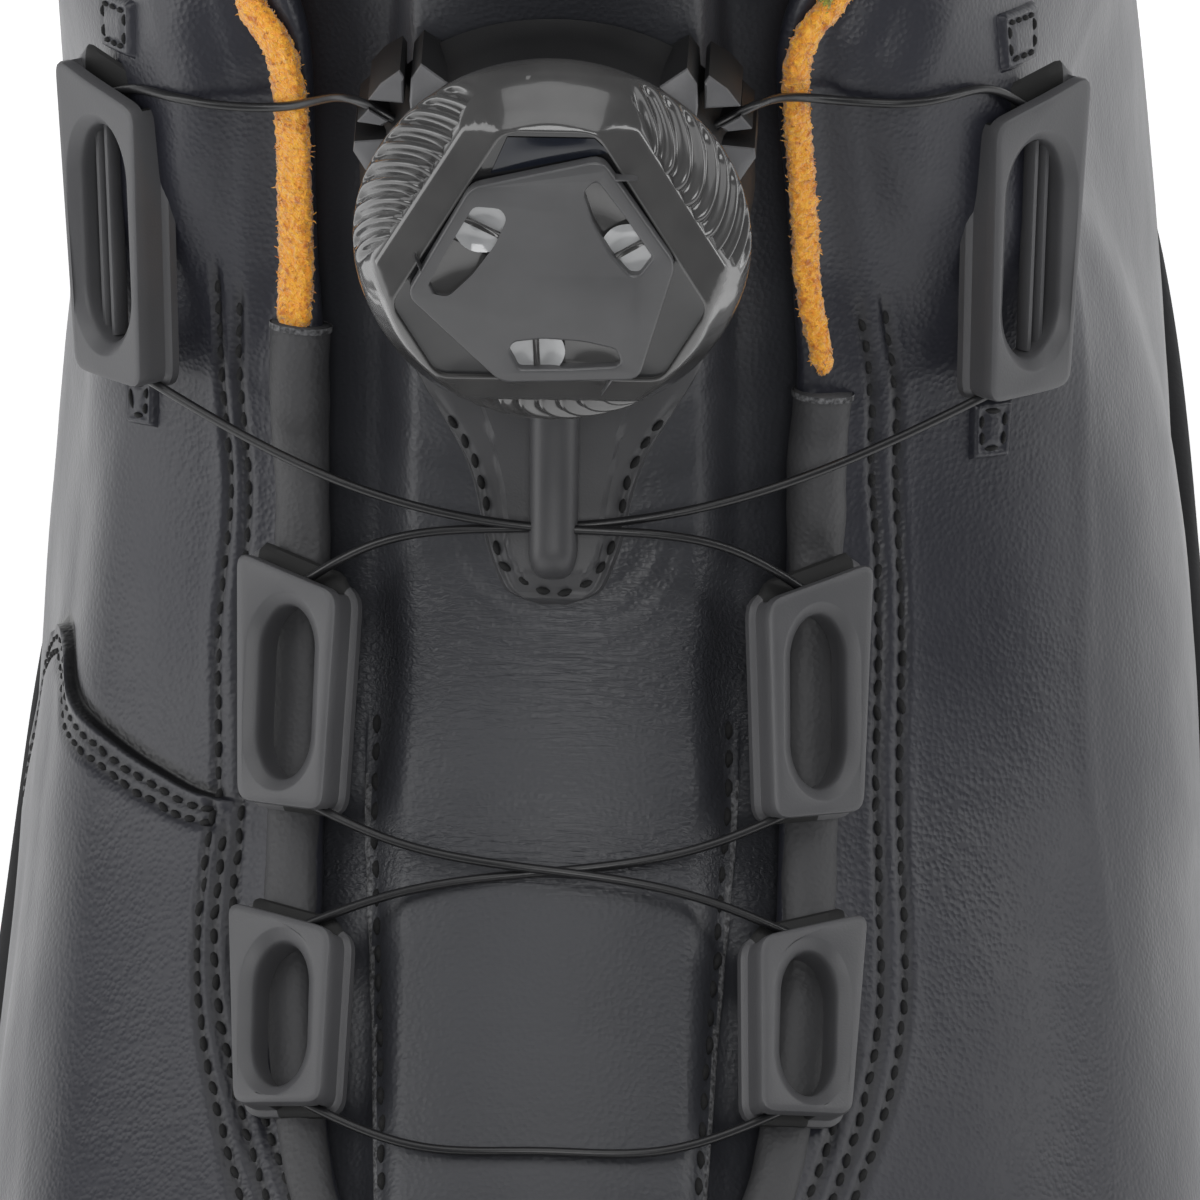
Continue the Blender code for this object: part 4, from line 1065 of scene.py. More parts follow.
# ---------------------------------------------------------------- piping and lining edge
def edge_path(stops, step):
    """Path along the sewn edge: (side, station, place), place being the distance below
    the edge on the face, or less than 0 for over the edge to the inside."""
    stops = np.array(stops, float)
    # one running number for both sides, so that a path may go round toe or heel
    run = np.where(stops[:, 0] < 0, stops[:, 1], 2 * _last - stops[:, 1])
    if np.any(np.diff(run) < 0):
        run = np.where(stops[:, 0] < 0, -stops[:, 1], stops[:, 1])
    fine = np.linspace(run[0], run[-1], 900)
    place = monotone(run, stops[:, 2])(fine)
    points, normals = np.empty((900, 3)), np.empty((900, 3))
    round_heel = run.max() > _last
    side = np.where(fine < _last, -1.0, 1.0) if round_heel else np.where(fine < 0, -1.0, 1.0)
    station = np.where(fine < _last, fine, 2 * _last - fine) if round_heel else np.abs(fine)
    for one in (-1.0, 1.0):
        m = side == one
        if not m.any():
            continue
        st, q = station[m], place[m]
        p, n = leather_at(st, one, np.maximum(q, 0.0))
        below, _ = leather_at(st, one, np.maximum(q, 0.0) + 1.0)
        upward = unit(p - below)
        upward = unit(upward - n * np.sum(upward * n, -1, keepdims=True))
        r = np.maximum((wall_at(st, 1.0) + relief(st, one, np.zeros_like(st))) / 2, 0.55)
        turn = np.maximum(-q, 0.0) / r
        c, s = np.cos(turn)[:, None], np.sin(turn)[:, None]
        centre = p - n * r[:, None]
        points[m] = centre + (n * c + upward * s) * r[:, None]
        normals[m] = n * c + upward * s
    both = resample(np.concatenate([points[::6], normals[::6]], axis=1), step * math.sqrt(1.0))
    return both[:, :3], unit(both[:, 3:])


def fuzzy(name, stops, wide, high, sink, material, step=0.3, shag=0.24, fibres=14.0):
    """Fleecy strip: a lumpy flat tube with short fibres standing out of it."""
    path, normals = edge_path(stops, step)
    run = np.linspace(0, 1, len(path))
    w = np.interp(run, [x for x, _ in wide], [x for _, x in wide])
    taper = np.minimum(1, np.minimum(np.arange(len(path)), np.arange(len(path))[::-1]) * 0.12 + 0.45)
    soup = Soup()
    ring = tube(soup, path + normals * (high - sink), normals, w * taper, high * taper, 22, power=0.75)
    n, sides = ring.shape[:2]
    middle = ring.mean(axis=1, keepdims=True)
    out = unit(ring - middle)
    i, j = np.meshgrid(np.arange(n), np.arange(sides), indexing="ij")
    lump = 0.5 * np.sin(i * 0.9 + 2.1 * np.sin(i * 0.13) + j * 1.9) + 0.5 * np.sin(i * 0.37 + j * 2.7)
    lump = lump * 0.55 + RNG.normal(size=lump.shape) * 0.55
    lumpy = ring + out * (lump * shag * 0.62)[..., None]
    soup.points[0][: n * sides] = lumpy.reshape(-1, 3)
    count = int(fibres * n * step)
    a, b = RNG.integers(1, n - 1, count), RNG.integers(0, sides, count)
    root = lumpy[a, b]
    aim = unit(out[a, b] + RNG.normal(size=(count, 3)) * 0.75)
    bend = unit(RNG.normal(size=(count, 3)))
    long = shag * RNG.uniform(0.5, 1.4, count)[:, None]
    thick = 0.075
    side = unit(np.cross(aim, bend))
    other = np.cross(aim, side)
    rings = []
    for f, r in ((0.0, 1.0), (0.5, 0.85), (1.0, 0.25)):
        centre = root + aim * long * f + bend * long * 0.45 * f * f
        rings.append(np.stack([centre + (side * math.cos(k) + other * math.sin(k)) * thick * r for k in (0, 2.09, 4.19)], 1))
    tuft = np.stack(rings, 1)  # fibre, ring, corner
    quads = grid_faces(3, 3, wrap_cols=True)
    tris = np.array([[8, 7, 6]])
    base = (np.arange(count) * 9)[:, None, None]
    soup.add(tuft.reshape(-1, 3), (quads[None] + base).reshape(-1, 4), (tris[None] + base).reshape(-1, 3))
    return make(name, soup, material, outward=False)


fuzzy(
    "lining_edge",
    [(-1, 8.33, 0.75), (-1, 8.73, 0.8), (-1, 9.3, 0.85), (-1, 9.64, 0.95), (-1, 9.93, 1.3), (-1, 10.36, 2.7), (-1, 10.8, 2.4), (-1, 11.2, 0.0),
     (-1, 11.9, -4.0), (-1, 14, -4.6), (-1, 16.9, -4.6), (1, 14, -4.6), (1, 11.9, -4.0), (1, 11.2, 0.0), (1, 10.8, 1.8), (1, 10.33, 1.9), (1, 10.06, 0.9),
     (1, 9.81, 0.5), (1, 9.33, 0.6), (1, 8.8, 0.4), (1, 8.45, 0.1), (1, 8.24, 0.2), (1, 8.10, 1.0)],
    [(0, 1.55), (0.04, 1.5), (0.17, 1.5), (0.22, 2.0), (0.78, 2.0), (0.83, 1.1), (0.97, 1.1), (1, 0.85)],
    0.62, 0.22, FLEECE,
)


def piping():
    soup = Soup()
    path, normals = edge_path(
        [(-1, 8.36, 0.6), (-1, 8.0, 0.6), (-1, 7.4, 0.5), (-1, 6.4, 1.0), (-1, 5.8, 1.2), (-1, 4.6, 0.7), (-1, 3.0, 0.6), (-1, 1.5, 1.0), (1, 0.0, 1.0), (1, 1.5, 1.0),
         (1, 3.0, 0.6), (1, 4.6, 0.7), (1, 5.8, 1.2), (1, 6.4, 1.2), (1, 7.4, 1.0), (1, 8.0, 0.7), (1, 8.2, 0.8)],
        0.6,
    )
    run = np.arange(len(path)) * 0.6
    w = 2.35 - 0.75 * np.exp(-(((run - run[-1] / 2) / 32.0) ** 2)) + 0.05 * np.sin(run / 2.3) + 0.04 * np.sin(run / 0.9 + 1)
    free = 1 - smooth(np.minimum(run, run[-1] - run), 9.0, 13.0)
    high = 1.55 + 0.55 * free + 0.05 * np.sin(run / 3.1)
    tube(soup, path - normals * (0.7 - 0.15 * free)[:, None], normals, w, high, 22, power=0.9)
    for cut, way in ((0, 1), (len(path) - 1, -1)):
        few = slice(0, 3) if way > 0 else slice(len(path) - 3, len(path))
        rim = resample((path - normals * (0.7 - 0.15 * free)[:, None])[few], 0.12)[:5] if way > 0 else resample((path - normals * (0.7 - 0.15 * free)[:, None])[few], 0.12)[-5:]
        tube(soup, rim, np.repeat(normals[cut : cut + 1], len(rim), 0), w[cut] * 1.04 + 0.05, high[cut] * 1.05 + 0.06, 22, tag=1, power=0.9, caps=False)
    return make("eyestay_piping", soup, [PIPING, RAW_EDGE], outward=False)


piping()

# ---------------------------------------------------------------- tongue
PANEL_TOP = 41.0  # the sewn middle panel ends here, under the guides
PANEL_EDGE = cubic([-18, 0, 14, 31, 45], [12.4, 13.9, 14.8, 16.2, 16.8])  # half width of the panel
PANEL_ROW = cubic([-18, 0, 14, 31, 45], [11.3, 12.8, 13.6, 15.0, 15.6])  # its stitching


def creases(sigma, x):
    """Fine folds across the tongue and soft ones below the dial."""
    h = np.zeros_like(sigma)
    for i in range(26):
        at = 36.5 + 13.5 * ((i * 0.618) % 1.0)
        mid = -12 + 24 * ((i * 0.377) % 1.0)
        span = 4.0 + 5.0 * ((i * 0.71) % 1.0)
        bend = 0.012 * (x - mid) ** 2 * (1 if i % 3 else -0.4)
        h -= 0.055 * np.exp(-(((sigma - at - bend - 0.15 * np.sin(x * 0.9 + i)) / 0.28) ** 2)) * np.exp(-(((x - mid) / span) ** 2))
    for i in range(14):
        at = 26.5 + 6.0 * ((i * 0.618) % 1.0)
        mid = -11 + 22 * ((i * 0.43) % 1.0)
        h -= 0.045 * np.exp(-(((sigma - at - 0.2 * np.sin(x * 0.7 + i)) / 0.25) ** 2)) * np.exp(-(((x - mid) / 5.0) ** 2))
    for r, depth in ((7.4, 0.16), (9.3, 0.13), (11.6, 0.10)):
        # folds that hang round the foot of the flange
        round_foot = np.sqrt((x * 0.92) ** 2 + (sigma - 55.0) ** 2)
        low = smooth(-sigma, -54.5, -50.5)
        h -= depth * np.exp(-(((round_foot - r) / 0.7) ** 2)) * low
    for s0, side in ((58.0, -1), (61.0, 1), (66.0, -1), (70.0, 1)):
        h -= 0.10 * np.exp(-(((sigma - s0 - 0.25 * np.abs(x)) / 0.8) ** 2)) * smooth(side * x, 8.0, 11.0) * (1 - smooth(side * x, 14.0, 17.0))
    return h


def tongue_face(sigma, x):
    """Lift of the tongue's face over the instep surface."""
    drop = tongue_drop(sigma, x, _tongue(sigma)[..., 2])
    h = -drop + creases(sigma, x)
    # the padded middle lies a little fuller than the part
    h += 0.5 * (1 - smooth(np.abs(x), 8.0, 15.0)) * smooth(sigma, 30, 50) * (1 - smooth(sigma, 96, 112))
    inside = smooth(PANEL_EDGE(np.clip(sigma, -18, 45)) - np.abs(x), -0.10, 0.12)
    below = 1 - smooth(sigma, 32.5, PANEL_TOP)
    row = np.abs(x) - PANEL_ROW(np.clip(sigma, -18, 45))
    h += below * inside * (0.75 - 0.22 * np.exp(-((row / 0.5) ** 2)))
    # the padded top stands out under the collar line
    h += 1.6 * smooth(sigma, 97, 108) * (1 - smooth(sigma, 117, 125.5)) * (1 - smooth(np.abs(x), 12, 23))
    return h


def tongue_at(sigma, x, lift=0.0):
    sigma, x = np.broadcast_arrays(np.asarray(sigma, float), np.asarray(x, float))
    p, _, _, n = instep(sigma, x, tongue_face(sigma, x) + lift)
    return p, n


def tongue():
    sigma = np.concatenate([np.arange(-18, -6, 1.5), np.arange(-6, 100, 0.42), np.arange(100, 126.01, 1.3)])
    edge = np.concatenate([np.linspace(-1, -0.70, 16), np.linspace(-0.70, 0.70, 92)[1:-1], np.linspace(0.70, 1, 16)])
    half = _tongue(sigma)[:, 0:1]
    x = edge[None, :] * half
    # columns gather on the panel's edge
    rim = PANEL_EDGE(np.clip(sigma, -18, 45))[:, None]
    pull = 1 - smooth(sigma, 40, 60)[:, None]
    near = np.abs(x) - rim
    x = np.where(np.abs(near) < 2.4, np.sign(x) * (rim + near * (0.25 + 0.75 * np.abs(near) / 2.4)), x) * pull + x * (1 - pull)
    s = np.broadcast_to(sigma[:, None], x.shape)
    face, n = tongue_at(s, x)
    thick = _tongue(sigma)[:, 1:2] * (0.55 + 0.45 * (1 - smooth(np.abs(edge), 0.6, 1.0))[None, :])
    thick = thick * (0.35 + 0.65 * smooth(1 - np.abs(edge), 0, 0.08)[None, :]) * (0.35 + 0.65 * smooth(126 - sigma, 0, 5))[:, None]
    base = instep(s, x, -tongue_drop(s, x, _tongue(s)[..., 2]))[0]
    back = base - n * thick[..., None]
    rows, cols = x.shape
    soup = Soup()
    points = np.concatenate([face.reshape(-1, 3), back.reshape(-1, 3)])
    front = grid_faces(rows, cols)
    k = rows * cols
    r, c = np.arange(rows - 1), np.arange(cols - 1)
    walls = [
        np.stack([r * cols, (r + 1) * cols, (r + 1) * cols + k, r * cols + k], -1),
        np.stack([r * cols + cols - 1, r * cols + cols - 1 + k, (r + 1) * cols + cols - 1 + k, (r + 1) * cols + cols - 1], -1),
        np.stack([c, c + k, c + 1 + k, c + 1], -1),
        np.stack([(rows - 1) * cols + c, (rows - 1) * cols + c + 1, (rows - 1) * cols + c + 1 + k, (rows - 1) * cols + c + k], -1),
    ]
    # the panel's cut edge shows its raw side
    mid_s = (s[:-1, :-1] + s[1:, 1:]) / 2
    mid_x = np.abs((x[:-1, :-1] + x[1:, 1:]) / 2)
    out = mid_x - PANEL_ROW(np.clip(mid_s, -18, 45))
    raw = ((out > 0.55) & (mid_x < PANEL_EDGE(np.clip(mid_s, -18, 45)) + 0.12) & (mid_s < 35.0)).ravel()
    lined = (mid_s > 92).ravel()
    soup.add(points, front[~raw], (), 0)
    soup.quads.append(np.hstack([front[raw], np.ones((raw.sum(), 1), int)]))
    behind = front[:, ::-1] + k
    soup.quads.append(np.hstack([behind[~lined], np.full(((~lined).sum(), 1), 2)]))
    soup.quads.append(np.hstack([behind[lined], np.full((lined.sum(), 1), 3)]))
    for w in walls:
        soup.quads.append(np.hstack([w, np.zeros((len(w), 1), int)]))
    worn = 0.1 + np.exp(-(((s - 43.5) / 6.0) ** 2)) + 0.9 * np.exp(-(((s - 28.5) / 2.6) ** 2))
    worn = np.concatenate([worn.ravel(), worn.ravel()])
    # the tongue's face takes the lighter leather, painted light
    obj = make("tongue_padded", soup, [TONGUE_LEATHER_LIGHT_PAINT, RAW_EDGE, DARK_KNIT, COLLAR_KNIT], ["tongue"], outward=True, sharp=50, attributes={"crease": worn})
    return BVHTree.FromPolygons([Vector(p) for p in face.reshape(-1, 3)], front.tolist())


TONGUE_TREE = tongue()

# ---------------------------------------------------------------- lace guides
def even(loop, n, start=(1.0, 0.0)):
    """n points evenly along a closed outline, from the side that start points to."""
    loop = np.asarray(loop, float)
    fine = np.concatenate([loop, loop[:1]])
    run = np.concatenate([[0], np.cumsum(np.linalg.norm(np.diff(fine, axis=0), axis=1))])
    dense = np.stack([np.interp(np.linspace(0, run[-1], 2001)[:-1], run, fine[:, i]) for i in (0, 1)], -1)
    centre = loop.mean(axis=0)
    turn = np.arctan2(dense[:, 1] - centre[1], dense[:, 0] - centre[0]) - math.atan2(start[1], start[0])
    first = int(np.argmin(np.abs((turn + math.pi) % (2 * math.pi) - math.pi)))
    dense = np.roll(dense, -first, axis=0)
    nxt = dense[1] - dense[0]
    area2 = np.sum(dense[:, 0] * np.roll(dense[:, 1], -1) - dense[:, 1] * np.roll(dense[:, 0], -1))
    if area2 < 0:
        dense = np.roll(dense[::-1], 1, axis=0)
    return dense[(np.arange(n) * len(dense) / n).astype(int)]


def grown(loop, amount):
    """A counter-clockwise outline moved outwards by this amount."""
    t = np.roll(loop, -1, axis=0) - np.roll(loop, 1, axis=0)
    t = t / np.maximum(np.linalg.norm(t, axis=1, keepdims=True), 1e-9)
    return loop + np.stack([t[:, 1], -t[:, 0]], -1) * amount


def smooth_loop(loop, times=2):
    for _ in range(times):
        loop = loop * 0.5 + (np.roll(loop, 1, axis=0) + np.roll(loop, -1, axis=0)) * 0.25
    return loop


def stadium(window, length, drop, n):
    r, l = window / 2, length / 2
    a = np.linspace(-math.pi / 2, math.pi / 2, 24)
    right = np.stack([r * np.cos(a), l * 0.0 + (l - r * 1.5) * np.sign(np.sin(a)) + 1.5 * r * np.sin(a)], -1)
    left = np.stack([-right[::-1, 0], right[::-1, 1]], -1)
    loop = np.concatenate([right, left])
    loop[:, 1] += drop
    return even(loop, n)


GUIDE_PLACES = {}


def guide(row, side):
    name, length, width, window = row[0], row[5], row[6], row[7]
    o, across, along, normal = guide_frame(row, side)
    w, l = width / 2, length / 2
    n = 120
    upper = name == "upper"
    corners = [(-w + 0.5, -l), (w - 1.0, -l + 0.7), (w, l), (-w, l - GUIDE_SLANT)]
    outer = smooth_loop(even(rounded(corners, 1.15, 6), n), 1)
    hole = stadium(window + (0.4 if upper else 0.0), length * (0.68 if upper else 0.67), -0.9, n)
    top = GUIDE_THICK - 0.2
    q, p = outer[:, 1], outer[:, 0]
    edge_q = l - GUIDE_SLANT * (w - p) / width
    at_top = smooth(q - edge_q, -0.9, -0.2) * (1 - smooth(np.abs(p), w - 1.3, w - 0.5))
    at_low = smooth(-q - l, -1.5, -0.6) * (1 - smooth(np.abs(p + 0.15 * width), 1.2, 2.2))

    def ring(loop, h, slot=0.0):
        z = np.full(n, h) if np.isscalar(h) else h
        loop = loop.copy()
        loop[:, 1] += slot * at_top - min(slot, 0.0) * at_low * 0.6
        # the face falls away towards the outer side
        fall = 0.35 * smooth(loop[:, 0], 0.0, w) * (z / GUIDE_THICK)
        return o + across * (loop[:, 0:1] * side) + along * loop[:, 1:2] + normal * (z - fall)[:, None]

    rings = [
        ring(grown(outer, 0.42), -0.35),
        ring(grown(outer, 0.42), 0.32, 0.8),
        ring(grown(outer, 0.22), 0.56, 0.8),
        ring(outer, 0.72, 0.2),
        ring(outer, 0.80, -1.6),
        ring(outer, 2.05, -1.6),
        ring(outer, 2.15, 0.0),
        ring(outer, top - 0.30),
        ring(grown(outer, -0.09), top - 0.09),
        ring(grown(outer, -0.28), top),
        ring(grown(outer, -0.60), top + 0.01),
        ring(grown(hole, 1.10), top + 0.01),
        ring(grown(hole, 0.92), top - 0.05),
        ring(grown(hole, 0.40), top - 0.62),
        ring(grown(hole, 0.22), top - 0.74),
        ring(grown(hole, 0.05), top - 1.00),
        ring(hole, top - 1.4),
        ring(hole, 0.9),
        ring(hole, -0.3),
    ]
    soup = Soup()
    points = np.stack(rings)
    quads = grid_faces(len(rings), n, wrap_cols=True, wrap_rows=True)
    # faces of the lower rings in the lace slots at both ends take the near-black finish: painted shade inside the slots
    slotted = np.maximum(at_top, at_low) > 0.12
    dark = ((np.arange(len(rings)) < 6)[:, None] & slotted[None, :]).ravel()
    soup.add(points, quads[~dark])
    soup.quads.append(np.hstack([quads[dark], np.ones((dark.sum(), 1), int)]))
    if upper:
        for x in (0.9, 2.0):
            a = np.array([[x * side, -length * 0.33 - 0.9], [x * side, length * 0.33 - 0.9]])
            line = o + across * a[:, :1] + along * a[:, 1:] + normal * 0.7
            line = line[0] + (line[1] - line[0]) * np.linspace(0, 1, 12)[:, None]
            tube(soup, line, np.broadcast_to(normal, line.shape), 0.32, 0.75, 10, power=0.6)
    obj = make(f"guide_loop_{name}_{'lateral' if side > 0 else 'medial'}", soup, [PLASTIC, SLOT_PAINTED_SHADE], [f"guide_{name}_{'lateral' if side > 0 else 'medial'}"], sharp=38)
    mid = o + normal * 1.45
    GUIDE_PLACES[name, side] = {
        "top": mid + along * (l - GUIDE_SLANT / 2 - 0.9) - across * side * 0.4,
        "low": mid - along * (l - 0.9) - across * side * width * 0.15,
        "in_top": mid + along * (l - 4.2) + across * side * (w - 1.25),
        "in_low": mid - along * (l - 3.6) + across * side * (w - 1.35),
        "frame": (o, across, along, normal),
        "size": (length, width),
    }
    return obj


for row in GUIDES:
    for side in (-1.0, 1.0):
        guide(row, side)


# ---------------------------------------------------------------- sewn tabs at the upper guides
TABS = Soup()


def on_leather(points, direction, lift):
    """Points dropped on the leather along a direction, with the leather's normal."""
    out, normals = np.empty_like(points), np.empty_like(points)
    d = Vector(direction)
    for i, p in enumerate(points):
        hit, n, _, _ = LEATHER_TREE.ray_cast(Vector(p) + d * 12.0, -d)
        if hit is None:
            hit, n, _, _ = LEATHER_TREE.find_nearest(Vector(p))
        n = n if n.dot(d) > 0 else -n
        out[i], normals[i] = hit + n * lift, n
    return out, normals


def tab(side, q0, q1, half_low, half_high, shift):
    place = GUIDE_PLACES["upper", side]
    o, across, along, normal = place["frame"]
    rows, cols = 22, 18
    v, u = np.meshgrid(np.linspace(0, 1, rows), np.linspace(-1, 1, cols), indexing="ij")
    half = half_low + (half_high - half_low) * v
    flat = o + across * ((u * half + shift) * side)[..., None] + along * (q0 + (q1 - q0) * v)[..., None]
    edge = np.minimum(1 - np.abs(u), 2 * np.minimum(v, 1 - v) * (q1 - q0) / 2 / half) * half
    p, n = on_leather(flat.reshape(-1, 3), normal, 0.0)
    lift = (0.06 + 0.62 * smooth(edge, 0.0, 0.45)).reshape(-1)
    lift -= 0.2 * np.exp(-(((edge.reshape(-1) - 0.95) / 0.35) ** 2))
    lift[(edge.reshape(-1) < 1e-6)] = -0.15
    TABS.add(p + n * lift[:, None], grid_faces(rows, cols))
    inset = 0.95
    h0, h1 = half_low - inset, half_high - inset
    corner = [(-h0, q0 + inset), (h0, q0 + inset), (h1, q1 - inset), (-h1, q1 - inset), (-h0, q0 + inset)]
    for (x0, y0), (x1, y1) in zip(corner[:-1], corner[1:]):
        f = np.linspace(0, 1, 12)[:, None]
        line = o + across * ((x0 + (x1 - x0) * f + shift) * side) + along * (y0 + (y1 - y0) * f)
        p, n = on_leather(line, normal, 0.5)
        stitch_row(p, n, pitch=1.25, share=0.8, radius=0.22, wobble=0.06)


for side in (-1.0, 1.0):
    tab(side, 13.2, 18.0, 3.0, 3.2, 0.2)
    tab(side, *((-17.6, -13.2, 1.7, 2.0, 2.4) if side < 0 else (-18.9, -14.0, 1.9, 2.1, 0.7)))
make("guide_tabs", TABS, LEATHER, outward=True)

# ---------------------------------------------------------------- dial housing
DIAL_O, DIAL_Y, DIAL_X, DIAL_N = instep(DIAL_SIGMA, 0.0)
BASE_EDGE = cubic(  # half width of the sewn base along the ridge
    [47.9, 48.5, 49.8, 52.7, 55.5, 59.5, 62.5, 66.0, 70.0, 75.0, 82.0, 85.4, 88.0, 89.8, 91.3, 92.4, 93.0],
    [0.9, 2.9, 4.4, 5.5, 6.1, 7.4, 9.2, 11.5, 13.6, 15.4, 16.2, 15.6, 14.4, 13.0, 11.2, 9.2, 7.4],
)
PLATE_EDGE = cubic([50.0, 51.2, 54.0, 58.0, 62.0, 66.0], [2.2, 3.3, 3.75, 4.3, 5.2, 6.4])
FOOT_ROW = [(62.9, -8.6), (59.5, -6.5), (55.5, -5.3), (52.7, -4.6), (50.6, -3.5), (49.3, -1.8), (48.8, 0.0), (49.3, 1.8), (50.6, 3.5), (52.7, 4.6), (55.5, 5.3), (59.5, 6.4), (62.9, 8.7)]
HEAD_ROW = [(93.4, -7.2), (94.0, -5.4), (94.3, -3.2), (94.5, 0.0), (94.3, 3.2), (93.9, 5.4), (93.1, 7.2)]


def base_lift(sigma, x, edge):
    """Lift of the sewn base over the instep; edge is the distance in from its rim."""
    on_tongue = tongue_face(sigma, x)
    thick = 0.05 + 0.85 * smooth(edge, 0.0, 0.5)
    thick = thick + 0.5 * smooth(PLATE_EDGE(np.clip(sigma, 50, 66)) - np.abs(x), -0.15, 0.2) * smooth(sigma, 49.6, 50.4)
    row = edge - 0.95
    thick = thick - 0.22 * np.exp(-((row / 0.35) ** 2)) * (1 - smooth(sigma, 63, 65) * (1 - smooth(sigma, 91, 93)))
    return on_tongue + thick


# facets: corners in the dial's plane, and their heights over the instep
LOBES = [
    ([(7.75, 11.6), (11.2, 9.2), (11.3, 10.2), (11.2, 11.9), (10.4, 13.15)], [6.0, 6.0, 5.7, 5.2, 5.0]),
    ([(11.75, 9.5), (14.6, 9.5), (13.6, 11.0), (12.1, 12.3), (11.75, 11.8)], [4.7, 4.2, 4.3, 4.5, 4.8]),
    ([(13.0, 7.6), (13.4, 7.2), (15.5, 7.2), (14.6, 8.35)], [4.1, 4.1, 3.5, 3.6]),
    ([(12.6, 6.5), (14.0, 2.9), (14.5, 3.1), (15.8, 4.95), (15.7, 5.8)], [5.0, 5.0, 4.8, 4.2, 4.2]),
]


def prism(soup, corners, heights, side):
    """A facet with bevelled edges on walls that go down to the tongue; the walls take the housing's near-black finish
    as painted shade and the top the lighter finish as painted highlight.
    """
    xy, h = np.array(corners), np.array(heights)
    loops = []
    middle = xy.mean(axis=0)
    for inset, drop in ((0.0, 99.0), (0.0, 0.28), (0.10, 0.08), (0.30, 0.0)):
        ring = middle + (xy - middle) * (1 - inset / np.linalg.norm(xy - middle, axis=1, keepdims=True))
        if drop > 50:
            loops.append(instep(DIAL_SIGMA + ring[:, 1], ring[:, 0] * side, np.zeros(len(ring)))[0])
        else:
            loops.append(DIAL_O + DIAL_X * (ring[:, 0] * side)[:, None] + DIAL_Y * ring[:, 1:2] + DIAL_N * (h - drop)[:, None])
    n = len(xy)
    top = DIAL_O + DIAL_X * middle[0] * side + DIAL_Y * middle[1] + DIAL_N * h.mean()
    quads = grid_faces(4, n, wrap_cols=True)
    k = np.arange(n)
    base = soup.count
    soup.add(np.concatenate([np.concatenate(loops), [top]]), quads[:n])
    soup.quads.append(np.hstack([quads[n:] + base, np.full((len(quads) - n, 1), 2)]))
    soup.tris.append(np.hstack([np.stack([3 * n + k, 3 * n + (k + 1) % n, np.full(n, 4 * n)], -1) + base, np.full((n, 1), 2)]))


def housing():
    soup = Soup()
    sigma = np.concatenate([47.9 + 1.0 * np.linspace(0, 1, 8) ** 1.6, np.arange(49.2, 92.2, 0.45), 93.0 - 0.8 * np.linspace(1, 0, 6) ** 1.5])
    f = np.sin(np.linspace(-1, 1, 61) * math.pi / 2)
    x = f[None, :] * BASE_EDGE(sigma)[:, None]
    s = np.broadcast_to(sigma[:, None], x.shape)
    end = np.minimum(sigma - 47.9, 93.0 - sigma)[:, None] * 0.9
    edge = np.minimum(np.abs(BASE_EDGE(sigma))[:, None] * (1 - np.abs(f))[None, :], end)
    lift = base_lift(s, x, edge)
    rim_row = (edge < 1e-4)
    lift = np.where(rim_row, tongue_face(s, x) - 0.25, lift)
    quads = grid_faces(*x.shape)
    foot = ((s[:-1, :-1] + s[1:, 1:]) / 2 < 67.0).ravel()
    # the sewn base above its foot is near black, painted shade round and under the knob; the foot keeps the grey
    # plastic
    soup.add(instep(s, x, lift)[0], quads[~foot])
    soup.quads.append(np.hstack([quads[foot], np.ones((foot.sum(), 1), int)]))
    # cup under the knob, near black as painted shade under it
    a = np.linspace(0, 2 * math.pi, 96, endpoint=False)
    rings = []
    for r, z in ((15.4, 0.3), (15.0, 1.6), (14.7, 3.0), (14.5, 5.6), (14.3, 6.4), (13.6, 6.6), (9.0, 6.6)):
        flat = DIAL_O + DIAL_X * (r * np.cos(a))[:, None] + DIAL_Y * (r * np.sin(a))[:, None] + DIAL_N * z
        if z < 2:
            curved = instep(DIAL_SIGMA + r * np.sin(a), r * np.cos(a), np.full(96, z + 0.2))[0]
            k = smooth(z, 0.2, 2.2)
            flat = curved * (1 - k) + flat * k
        rings.append(flat)
    soup.add(np.stack(rings), grid_faces(len(rings), 96, wrap_cols=True))
    # keeper: a rounded bar from the cup down over the crossing
    ks = np.concatenate([np.linspace(70.0, 52.5, 40), 52.5 - 1.9 * np.sin(np.linspace(0, 1, 9)[1:] * math.pi / 2)])
    grow = np.sqrt(np.clip(1 - (np.clip(52.5 - ks, 0, 2) / 1.95) ** 2, 0.03, 1))
    path, _, _, n = instep(ks, 0.0, 1.35 - 0.9 * (1 - grow))
    tube(soup, path, n, 1.95 * (0.55 + 0.45 * grow), 2.35 * grow, 22, tag=1, power=0.85)
    # faceted lobes round the lace ports, their tops lighter as painted highlight and their walls near black as painted
    # shade
    for side in (-1.0, 1.0):
        for corners, heights in LOBES:
            prism(soup, corners, heights, side)
    make("dial_base", soup, [HOUSING_BLACK_SHADE_PAINT, BASE_PLASTIC, LOBE_HIGHLIGHT_PAINT], ["dial_housing"], sharp=30)
    for row in (FOOT_ROW, HEAD_ROW):
        line = resample(np.array(row), 0.5)
        lift = tongue_face(line[:, 0], line[:, 1]) + 0.72
        p, _, _, n = instep(line[:, 0], line[:, 1], lift)
        stitch_row(p, n, pitch=1.75, share=0.76, radius=0.3, wobble=0.1)
    for side in (-1.0, 1.0):
        line = resample(np.array([(74.0, side * 14.9), (79.0, side * 15.9), (84.0, side * 15.9)]), 0.5)
        p, _, _, n = instep(line[:, 0], line[:, 1], tongue_face(line[:, 0], line[:, 1]) + 0.75)
        stitch_row(p, n, pitch=1.9, share=0.72, radius=0.28)


housing()


# ---------------------------------------------------------------- dial knob
KNOB_O = DIAL_O + DIAL_N * KNOB_BASE


